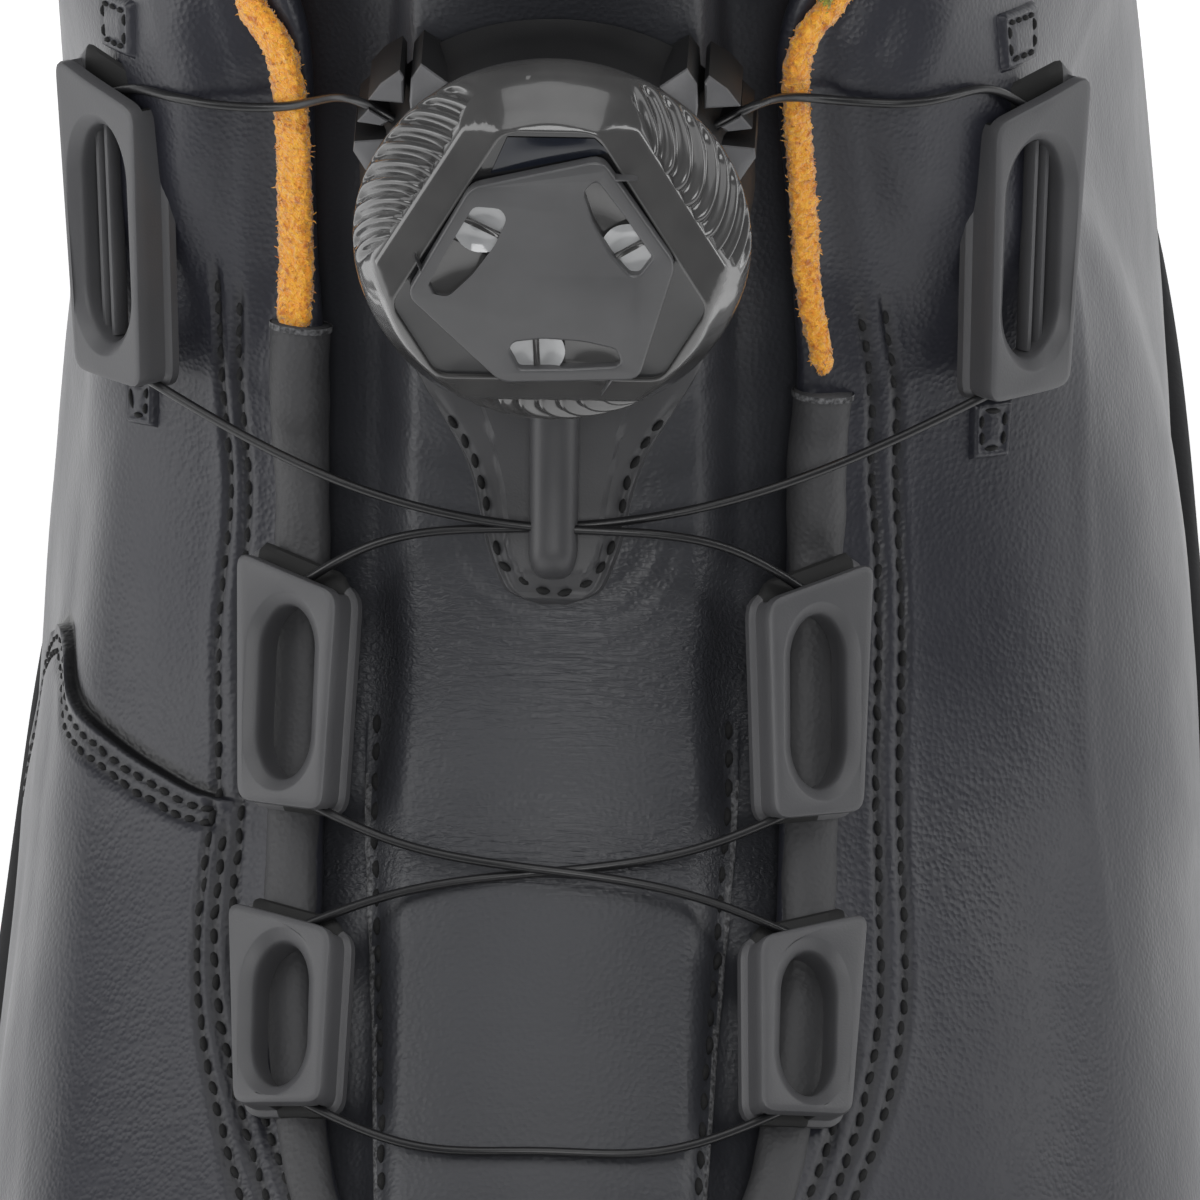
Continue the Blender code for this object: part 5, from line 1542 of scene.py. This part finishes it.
def on_knob(xy, z):
    xy = np.asarray(xy, float)
    z = np.broadcast_to(np.asarray(z, float), xy.shape[:-1])
    return KNOB_O + DIAL_X * xy[..., 0:1] + DIAL_Y * xy[..., 1:2] + DIAL_N * z[..., None]


def three(points):
    """Three turns of a third round the dial's middle."""
    out = []
    for k in range(3):
        a = math.radians(120.0 * k)
        c, s = math.cos(a), math.sin(a)
        out += [(x * c - y * s, x * s + y * c) for x, y in points]
    return out


def knob():
    soup = Soup()
    n = 864
    a = np.linspace(0, 2 * math.pi, n, endpoint=False)
    profile = [(8.0, 5.9), (11.0, 6.2), (12.4, 6.35), (13.0, 6.2), (13.5, 5.85), (14.0, 5.35), (14.45, 4.75), (14.85, 4.1), (15.15, 3.5), (15.4, 2.9), (15.55, 2.45),
               (15.62, 2.0), (15.6, 1.5), (15.45, 1.0), (15.1, 0.5), (14.6, 0.18), (13.8, 0.0), (8.0, 0.0)]
    slope_r, slope_z = [r for r, z in profile[2:12]], [z for r, z in profile[2:12]]
    grip = smooth(np.cos(3 * (a - math.radians(30.0))), -0.45, 0.05)
    fine = [p for p in resample(np.array(profile), 0.2)]
    rows = []
    for r, z in fine:
        deep = 0.62 * smooth(z, 1.8, 2.9) * (r > 10.5)
        turn = (48 * (a + 0.068 * (z - 3.0)) / (2 * math.pi)) % 1.0
        cut = deep * grip * (0.5 + 0.5 * np.cos(2 * math.pi * turn**0.8))
        rr, zz = r - cut * 0.7, z - cut * 0.7
        rows.append(on_knob(np.stack([rr * np.cos(a), rr * np.sin(a)], -1), zz))
    soup.add(np.stack(rows), grid_faces(len(rows), n, wrap_cols=True))
    # broad bevelled band round the three-sided face
    m = 300
    face = even(rounded(three([(3.6, 12.3), (-3.6, 12.3)]), 1.1, 8), m)
    rings = [(3.0, 4.4), (2.85, 5.9), (2.65, 6.35), (2.35, 6.58), (1.85, 6.82), (1.3, 7.1), (0.8, 7.38), (0.5, 7.56), (0.25, 7.68), (0.1, 7.72), (-0.02, 7.68), (-0.10, 7.4)]
    band = []
    for g, z in rings:
        loop = smooth_loop(grown(face, g), 6) if g > 0.6 else grown(face, g)
        r = np.linalg.norm(loop, axis=1)
        loop = loop * (np.minimum(r, 15.25) / r)[:, None]
        r = np.minimum(r, 15.25)
        band.append(on_knob(loop, np.minimum(z, np.interp(r, slope_r, slope_z) + 0.25 + 1.2 * (1 - smooth(r, 12.6, 14.6)))))
    soup.add(np.stack(band), grid_faces(len(rings), m, wrap_cols=True))
    make("dial_grip", soup, SMOKY, ["dial_knob"], sharp=50)
    top = Soup()
    flat = [on_knob(grown(face, -0.10), 7.4), on_knob(face * 0.965, 7.36), on_knob(face * 0.7, 7.4)]
    top.add(np.stack(flat), grid_faces(len(flat), m, wrap_cols=True))
    centre = on_knob(np.array([[0.0, 0.0]]), 7.4)
    k = np.arange(m)
    top.add(np.concatenate([flat[-1], centre]), (), np.stack([k, (k + 1) % m, np.full(m, m)], -1))
    make("dial_frame", top, SMOKY_DARK, sharp=35)
    inlay = Soup()
    u, v = np.meshgrid(np.linspace(0, 1, 16), np.linspace(0, 1, 8), indexing="ij")
    low = np.stack([-4.6 + 9.3 * u, 8.55 + 2.0 * u], -1)
    high = np.stack([-3.3 + 6.8 * u, 11.75 + 0.0 * u], -1)
    inlay.add(on_knob(low * (1 - v[..., None]) + high * v[..., None], 7.46 + 0.1 * np.sin(math.pi * u) * np.sin(math.pi * v)), grid_faces(16, 8))
    make("dial_inlay", inlay, SMOKY_NAVY, outward=False)


knob()


def knob_plate():
    """Raised plate with three windows whose floors are partly painted pale as reflections; its middle is plain."""
    corner = lambda r, deg: (r * math.cos(math.radians(deg)), r * math.sin(math.radians(deg)))
    loop = rounded(three([corner(9.75, 8.0), corner(11.0, 68.5)]), 0.8, 5)
    curve = bpy.data.curves.new("dial_plate", "CURVE")
    curve.dimensions, curve.fill_mode = "2D", "BOTH"
    curve.extrude, curve.bevel_depth, curve.bevel_resolution = 0.0004, 0.00022, 3
    a, b = np.array(corner(9.75, 8.0)), np.array(corner(11.0, 68.5))
    along_side = (b - a) / np.linalg.norm(b - a)
    inward = np.array([-along_side[1], along_side[0]])
    length = np.linalg.norm(b - a)
    at = lambda s, w: tuple(a + along_side * s + inward * w)
    window = [at(1.2, 0.75), at(5.7, 0.72), at(9.2, 0.85), at(9.6, 1.4), at(9.2, 2.7), at(6.6, 3.45), at(3.4, 3.8), at(0.9, 3.55), at(0.35, 2.7)]
    window = rounded(window, 0.45, 4)
    windows = [window]
    for k in (1, 2):
        t = math.radians(120.0 * k)
        c, s = math.cos(t), math.sin(t)
        windows.append([(x * c - y * s, x * s + y * c) for x, y in window])
    for points in [loop, *windows]:
        spline = curve.splines.new("POLY")
        spline.points.add(len(points) - 1)
        for point, (x, y) in zip(spline.points, points):
            point.co = (x * MM, y * MM, 0.0, 1.0)
        spline.use_cyclic_u = True
    maker = bpy.data.objects.new("dial_plate_curve", curve)
    bpy.context.scene.collection.objects.link(maker)
    bpy.context.view_layer.update()
    mesh = bpy.data.meshes.new_from_object(maker.evaluated_get(bpy.context.evaluated_depsgraph_get()))
    bpy.data.objects.remove(maker, do_unlink=True)
    bpy.data.curves.remove(curve)
    m = Matrix.Identity(4)
    for i, v in enumerate((DIAL_X, DIAL_Y, DIAL_N)):
        m.col[i][:3] = v
    m.translation = Vector((KNOB_O + SHIFT + DIAL_N * 8.1) * MM)
    mesh.transform(m)
    mesh.materials.clear()
    mesh.materials.append(PLATE)
    bm = bmesh.new()
    bm.from_mesh(mesh)
    bmesh.ops.remove_doubles(bm, verts=bm.verts, dist=1e-6)
    bmesh.ops.recalc_face_normals(bm, faces=bm.faces)
    bm.to_mesh(mesh)
    bm.free()
    mesh.shade_smooth()
    mesh.set_sharp_from_angle(angle=math.radians(30))
    obj = bpy.data.objects.new("dial_plate", mesh)
    bpy.context.scene.collection.objects.link(obj)
    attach(obj, "root")
    # floors of the windows: a bright half painted pale as a reflection, a bar and a grey half
    bright, grey = Soup(), Soup()
    for k in range(3):
        t = math.radians(120.0 * k)
        c, s = math.cos(t), math.sin(t)
        for soup, s0, s1, z0, z1 in ((bright, 0.1, 2.55, 8.2, 7.95), (bright, 2.95, 5.0, 7.95, 8.15), (grey, 4.98, 9.9, 7.75, 8.1), (grey, 2.5, 3.0, 8.2, 8.2)):
            u, v = np.meshgrid(np.linspace(0, 1, 11), np.linspace(0, 1, 11), indexing="ij")
            along_s = s0 + (s1 - s0) * u
            if soup is bright and s0 > 2:
                along_s = along_s - 0.8 * u * (2 * v - 1) ** 2
            xy = a + along_side * along_s[..., None] + inward * (0.55 + 3.5 * v)[..., None]
            xy = np.stack([xy[..., 0] * c - xy[..., 1] * s, xy[..., 0] * s + xy[..., 1] * c], -1)
            dish = z0 + (z1 - z0) * u - 0.3 * np.sin(math.pi * u) * np.sin(math.pi * v)
            soup.add(on_knob(xy, dish), grid_faces(11, 11))
        # the grey floor under all of it
        u, v = np.meshgrid(np.linspace(0, 1, 11), np.linspace(0, 1, 7), indexing="ij")
        xy = a + along_side * (10.0 * u)[..., None] + inward * (0.5 + 3.6 * v)[..., None]
        xy = np.stack([xy[..., 0] * c - xy[..., 1] * s, xy[..., 0] * s + xy[..., 1] * c], -1)
        grey.add(on_knob(xy, np.full(u.shape, 7.6)), grid_faces(11, 7))
    make("dial_window_painted_reflection", bright, WINDOW_REFLECTION_PAINT, outward=False)
    make("dial_window_grey", grey, SMOKY, outward=False)


knob_plate()

# ---------------------------------------------------------------- wire lace
LACE_RADIUS = 0.37


def held_off(path, trees, clear, keep):
    """A path pushed off these surfaces where it comes too near; keep marks fixed points."""
    for turn in range(8):
        for i in range(len(path)):
            if keep[i]:
                continue
            for tree in trees:
                near, normal, _, far = tree.find_nearest(Vector(path[i]), 6.0)
                if near is None:
                    continue
                gap = (Vector(path[i]) - near).dot(normal)
                if far < clear or gap < 0:
                    path[i] = np.array(near + normal * clear)
        if turn < 7:
            moved = path.copy()
            moved[1:-1] = path[1:-1] * 0.5 + (path[2:] + path[:-2]) * 0.25
            path = np.where(keep[:, None], path, moved)
    return path


def facing(tree_points, faces, outward):
    return BVHTree.FromPolygons([Vector(p) for p in tree_points], faces)


def over(sigma, x, lift):
    return instep(sigma, x, np.array(lift))[0]


def run_wire(points, samples, first_hidden, last_hidden):
    points = np.array(points)
    cuts = np.concatenate([[0], np.cumsum(np.linalg.norm(np.diff(points, axis=0), axis=1))])
    path = cubic(cuts, points)(np.linspace(0, cuts[-1], samples))
    keep = np.zeros(samples, bool)
    keep[:first_hidden] = keep[samples - last_hidden :] = True
    return held_off(path, [LEATHER_TREE, TONGUE_TREE], LACE_RADIUS + 0.05, keep)


# the top runs: station, distance below the part's edge, lift
TOP_RUN = {
    -1.0: [(9.57, 2.6, 1.35), (9.90, 11.8, 0.5), (10.36, 21.6, 0.45)],
    1.0: [(9.66, 1.0, 1.35), (9.97, 10.8, 0.5), (10.30, 18.0, 0.45)],
}


def lace():
    """One wire from port to port: guide, crossing, guide, crossing, guide, bar and back."""
    G = GUIDE_PLACES
    port = {}
    for side in (-1.0, 1.0):
        t = math.radians(30.0)
        spot = DIAL_O + DIAL_X * side * 13.0 * math.cos(t) + DIAL_Y * 13.0 * math.sin(t) + DIAL_N * 3.4
        mouth = DIAL_O + DIAL_X * side * 16.6 * math.cos(t) + DIAL_Y * 16.4 * math.sin(t) + DIAL_N * 2.7
        port[side] = (spot, mouth)
    runs = []
    for side in (-1.0, 1.0):
        g = G["upper", side]
        route = [port[side][0], port[side][1]]
        for station, down, lift in TOP_RUN[side]:
            p, n = leather_at(np.array(station), side, np.array(down) - EDGE_MOVE[side](station))
            route.append(p + n * lift)
        runs.append(run_wire([*route, g["top"]], 80, 9, 2))
    shapes = (("upper", "mid", 56.4, 54.3, 52.6, 2.0, 13.0), ("mid", "lower", 29.2, 26.7, 25.0, 0.3, 12.0))
    for high, low, s0, s1, s2, lift, x in shapes:
        for side, bump in ((-1.0, 0.42), (1.0, -0.36)):
            a, b = G[high, side]["low"], G[low, -side]["top"]
            mid = over(s1, 0.0, lift + bump)
            route = [a, over(s0, side * x, lift + 0.5 + bump * 0.4), mid, over(s2, -side * x, lift + 0.5 + bump * 0.4), b]
            runs.append(run_wire(route, 90, 2, 2))
    bar = [G["lower", -1.0]["low"], over(4.3, -9.0, 0.4), over(3.9, 0.0, 0.2), over(4.3, 9.0, 0.4), G["lower", 1.0]["low"]]
    runs.append(run_wire(bar, 60, 2, 2))
    soup = Soup()
    for path in runs:
        tube(soup, path, carried(path), LACE_RADIUS, LACE_RADIUS, 12)
    # inside the guides, along their outer walls
    for (name, side), g in G.items():
        path = resample(np.array([g["top"], g["in_top"], (g["in_top"] + g["in_low"]) / 2, g["in_low"], g["low"]]), 0.6)
        tube(soup, path, carried(path), LACE_RADIUS, LACE_RADIUS, 10)
    return make("lace_wire", soup, WIRE, ["lace_top_medial", "lace_top_lateral", "lace_cross_upper", "lace_cross_lower", "lace_bar"])


lace()

# ---------------------------------------------------------------- outsole and insole
SOLE_COLUMNS = 320


def sole_stations():
    half = SOLE_COLUMNS // 2
    k = np.arange(SOLE_COLUMNS)
    side = np.where(k <= half, 1.0, -1.0)
    return np.where(k <= half, k, SOLE_COLUMNS - k) * (_last / half), side


S_STATION, S_SIDE = sole_stations()
S_U = np.clip(_sections(S_STATION)[:, 0], 0, 1)
S_FLOOR, S_TREAD = floor_at(S_U), tread_at(S_U)


def sole_ring(inset, z):
    xy = np.stack([outline(u, s, inset) for u, s in zip(S_U, S_SIDE)])
    return np.concatenate([xy, np.broadcast_to(z, S_U.shape)[:, None]], -1)


def ladder(base, n):
    quads = [(base + k, base + k + 1, base + n - k - 1, base + n - k) for k in range(1, n // 2 - 1)]
    h = n // 2
    return quads, [(base, base + 1, base + n - 1), (base + h - 1, base + h, base + h + 1)]


def lofted(name, rings, material, replaces):
    n = len(rings[0])
    soup = Soup()
    q0, t0 = ladder(0, n)
    q1, t1 = ladder((len(rings) - 1) * n, n)
    quads = np.concatenate([grid_faces(len(rings), n, wrap_cols=True), np.array(q0), np.array(q1)])
    soup.add(np.concatenate(rings), quads, np.array(t0 + t1))
    return make(name, soup, material, replaces, sharp=40)


def lugs(soup):
    """Blocks of the tread: grooves across and channels along between them."""
    main = [(0.012, 0.0), *TREAD_GROOVES, (0.988, 0.0)]
    for k, ((ua, sa), (ub, sb)) in enumerate(zip(main[:-1], main[1:])):
        half = LUG_GROOVE / 2 / LENGTH
        u = np.linspace(ua + half * (k > 0), ub - half * (k < len(main) - 2), 9)
        slant = np.tan(np.radians(sa + (sb - sa) * np.linspace(0, 1, 9) ** (0.5 if k == len(main) - 2 else 1.0)))
        left, right = outline(u, -1.0, 4.6)[:, 0], outline(u, 1.0, 4.6)[:, 0]
        cuts = [-99.0, -17.0, 19.0, 99.0] if 0.1 < (ua + ub) / 2 < 0.6 else [-99.0, 1.5, 99.0]
        for c0, c1 in zip(cuts[:-1], cuts[1:]):
            x0, x1 = np.maximum(left, c0 + 1.7), np.minimum(right, c1 - 1.7)
            keep = x1 - x0 > 1.5
            if keep.sum() < 3:
                continue
            x0, x1, uu, tilt = x0[keep], x1[keep], u[keep], slant[keep]
            y0, ends = -LENGTH / 2 + uu * LENGTH, []
            for x, rise in ((x0, 0.0), (x1, 0.0), (x1, LUG_DEPTH + 2.2), (x0, LUG_DEPTH + 2.2)):
                y = np.clip(y0 + x * tilt, -LENGTH / 2 + 4.6, LENGTH / 2 - 4.6)
                ends.append(np.stack([x, y, tread_at((y + LENGTH / 2) / LENGTH) + rise], -1))
            points = np.stack(ends, 1)
            m = len(points)
            caps = np.array([(0, 1, 2, 3), (4 * m - 1, 4 * m - 2, 4 * m - 3, 4 * m - 4)])
            soup.add(points, np.concatenate([grid_faces(m, 4, wrap_cols=True), caps]))


def outsole():
    t = np.array([0.0, 0.02, 0.05, 0.1])[:, None]
    wall = last_surface(S_STATION[None], S_SIDE[None], t)
    around = np.roll(wall, -1, axis=1) - np.roll(wall, 1, axis=1)
    n = unit(np.cross(around, np.gradient(wall, axis=0)))
    seat = wall[0] + n[0] * 0.3
    seat[:, 2] = S_FLOOR - 0.3
    lip = wall[3] + n[3] * 0.25
    flat = unit(n[3] * np.array([1, 1, 0]))
    up = np.array([0, 0, 1.0])
    high = S_FLOOR - S_TREAD
    mid = sole_ring(0.0, S_FLOOR - 3.0)
    shoulder = lip + flat * 2.2 - up * 0.3
    rings = [seat, wall[1] + n[1] * 0.3, wall[2] + n[2] * 0.3, lip, lip + flat * 0.45 + up * 0.28, lip + flat * 1.3 + up * 0.3, lip + flat * 1.9 + up * 0.02, shoulder]
    rings += [shoulder * 0.7 + mid * 0.3, shoulder * 0.35 + mid * 0.65, mid]
    for share, inset in ((0.86, 0.0), (0.80, 0.05), (0.785, 0.75), (0.745, 0.75), (0.73, 0.1), (0.56, 0.35), (0.54, 0.95), (0.515, 0.95), (0.495, 0.45), (0.36, 0.9)):
        z = np.maximum(np.minimum(S_TREAD + share * high, S_FLOOR - 3.2), S_TREAD + LUG_DEPTH + 1.0)
        rings.append(sole_ring(inset, z))
    rings += [sole_ring(2.6, S_TREAD + LUG_DEPTH + 0.5), sole_ring(3.4, S_TREAD + LUG_DEPTH)]
    n_ring = len(rings[0])
    soup = Soup()
    q0, t0 = ladder(0, n_ring)
    q1, t1 = ladder((len(rings) - 1) * n_ring, n_ring)
    soup.add(np.concatenate(rings), np.concatenate([grid_faces(len(rings), n_ring, wrap_cols=True), np.array(q0), np.array(q1)]), np.array(t0 + t1))
    lugs(soup)
    return make("outsole_rubber", soup, RUBBER, ["outsole"], sharp=35)


outsole()
_in = RIM_WALL + WALL_VAMP + 1.2
lofted(
    "insole_sheet",
    [sole_ring(_in, S_FLOOR + 0.2), sole_ring(_in, S_FLOOR + 2.6), sole_ring(_in + 0.3, S_FLOOR + 3.4), sole_ring(_in + 1.2, S_FLOOR + 4.0), sole_ring(_in + 6.0, S_FLOOR + 4.05)],
    INSOLE, ["insole"],
)

# ---------------------------------------------------------------- stitching
for side, row, top in ROW_AT:
    s = np.linspace(top, 0.0, 700)
    p, n = leather_at(s, side, row(s))
    both = resample(np.concatenate([p[::10], n[::10]], axis=1), 0.5)
    stitch_row(both[:, :3], unit(both[:, 3:]), pitch=1.85, share=0.8, radius=0.34, wobble=0.13)
for offset in (1.05, 1.95):
    d = np.linspace(8.1, 76.0, 400)
    _, spread, slope = seam_distance(SEAM(d), d)
    s = SEAM(d) - offset * np.sqrt(1 + slope**2) / spread
    p, n = leather_at(s, -1.0, d)
    both = resample(np.concatenate([p[::8], n[::8]], axis=1), 0.5)
    stitch_row(both[:, :3], unit(both[:, 3:]), pitch=1.5, share=0.8, radius=0.29)
for side in (-1.0, 1.0):
    sigma = np.linspace(40.0, -8.0, 120)
    p, n = tongue_at(sigma, side * PANEL_ROW(sigma))
    stitch_row(p, n, pitch=2.35, share=0.72, radius=0.4, wobble=0.1)
make("stitching", STITCHES, THREAD, outward=False)

# a green thread end in the lining edge
fuzzy("lining_thread", [(-1, 10.12, 1.0), (-1, 10.4, 0.8), (-1, 10.9, 0.6)], [(0, 0.35), (1, 0.6)], 0.45, 0.0, GREEN, shag=0.25, fibres=18.0)

# ---------------------------------------------------------------- floor, light and camera
def area(name, size, spot, aim, power, colour=(1, 1, 1)):
    lamp = bpy.data.lights.new(name, "AREA")
    lamp.shape = "RECTANGLE"
    lamp.size, lamp.size_y = size
    lamp.energy = power
    lamp.color = colour
    obj = bpy.data.objects.new(name, lamp)
    bpy.context.scene.collection.objects.link(obj)
    obj.location = spot
    obj.rotation_euler = (Vector(aim) - Vector(spot)).to_track_quat("-Z", "Y").to_euler()
    obj.visible_camera = False
    return obj


floor_mesh = bpy.data.meshes.new("floor")
reach = 40.0
floor_mesh.from_pydata([(-reach, -reach, 0), (reach, -reach, 0), (reach, reach, 0), (-reach, reach, 0)], [], [(0, 1, 2, 3)])
floor = bpy.data.objects.new("floor", floor_mesh)
bpy.context.scene.collection.objects.link(floor)
white = Paint("studio_floor", Roughness=0.9, Emission_Strength=0.6)
white.bsdf.inputs["Emission Color"].default_value = (1.0, 1.0, 1.0, 1.0)
white.colour(white.blend(white.span(white.noise(3.0, 2.0), 0.3, 0.7), (0.90, 0.90, 0.90), (0.93, 0.93, 0.93)))
floor_mesh.materials.append(white.mat)

world = bpy.data.worlds.new("studio")
world.use_nodes = True
world.node_tree.nodes["Background"].inputs["Color"].default_value = (0.95, 0.97, 1.0, 1.0)
world.node_tree.nodes["Background"].inputs["Strength"].default_value = 0.16
bpy.context.scene.world = world

area("top_box", (1.4, 1.2), (0.0, 0.1, 1.6), (0, 0, 0.08), 8.0)
area("left_box", (0.5, 1.2), (-0.95, -0.15, 0.55), (0, 0, 0.1), 5.0)
area("right_box", (0.22, 1.2), (0.98, 0.1, 0.62), (0, 0, 0.1), 3.4)
area("front_box", (0.9, 0.7), (0.12, -1.25, 1.35), (0, 0, 0.1), 8.5)

az, el, roll = math.radians(2.5), math.radians(47.0), math.radians(0.8)
PIXEL, DISTANCE = 0.079, 2000.0
right = np.array([math.cos(az), math.sin(az), 0.0])
ahead = np.array([-math.sin(az) * math.cos(el), math.cos(az) * math.cos(el), -math.sin(el)])
upward = np.cross(right, ahead)
cam_right = right * math.cos(roll) - upward * math.sin(roll)
cam_up = right * math.sin(roll) + upward * math.cos(roll)
target = instep(45.0, 0.0)[0] + SHIFT
eye = target + cam_right * (600 - 552) * PIXEL + cam_up * (642 - 600) * PIXEL - ahead * DISTANCE
lens = bpy.data.cameras.new("camera")
lens.sensor_width = 36.0
lens.lens = 36.0 * DISTANCE / (1200 * PIXEL)
lens.clip_start, lens.clip_end = 0.05, 200.0
camera = bpy.data.objects.new("camera", lens)
pose = Matrix.Identity(4)
for i, v in enumerate((cam_right, cam_up, -ahead)):
    pose.col[i][:3] = v
pose.translation = Vector(eye * MM)
camera.matrix_world = pose
bpy.context.scene.collection.objects.link(camera)
bpy.context.scene.camera = camera
bpy.context.scene.view_settings.view_transform = "Standard"
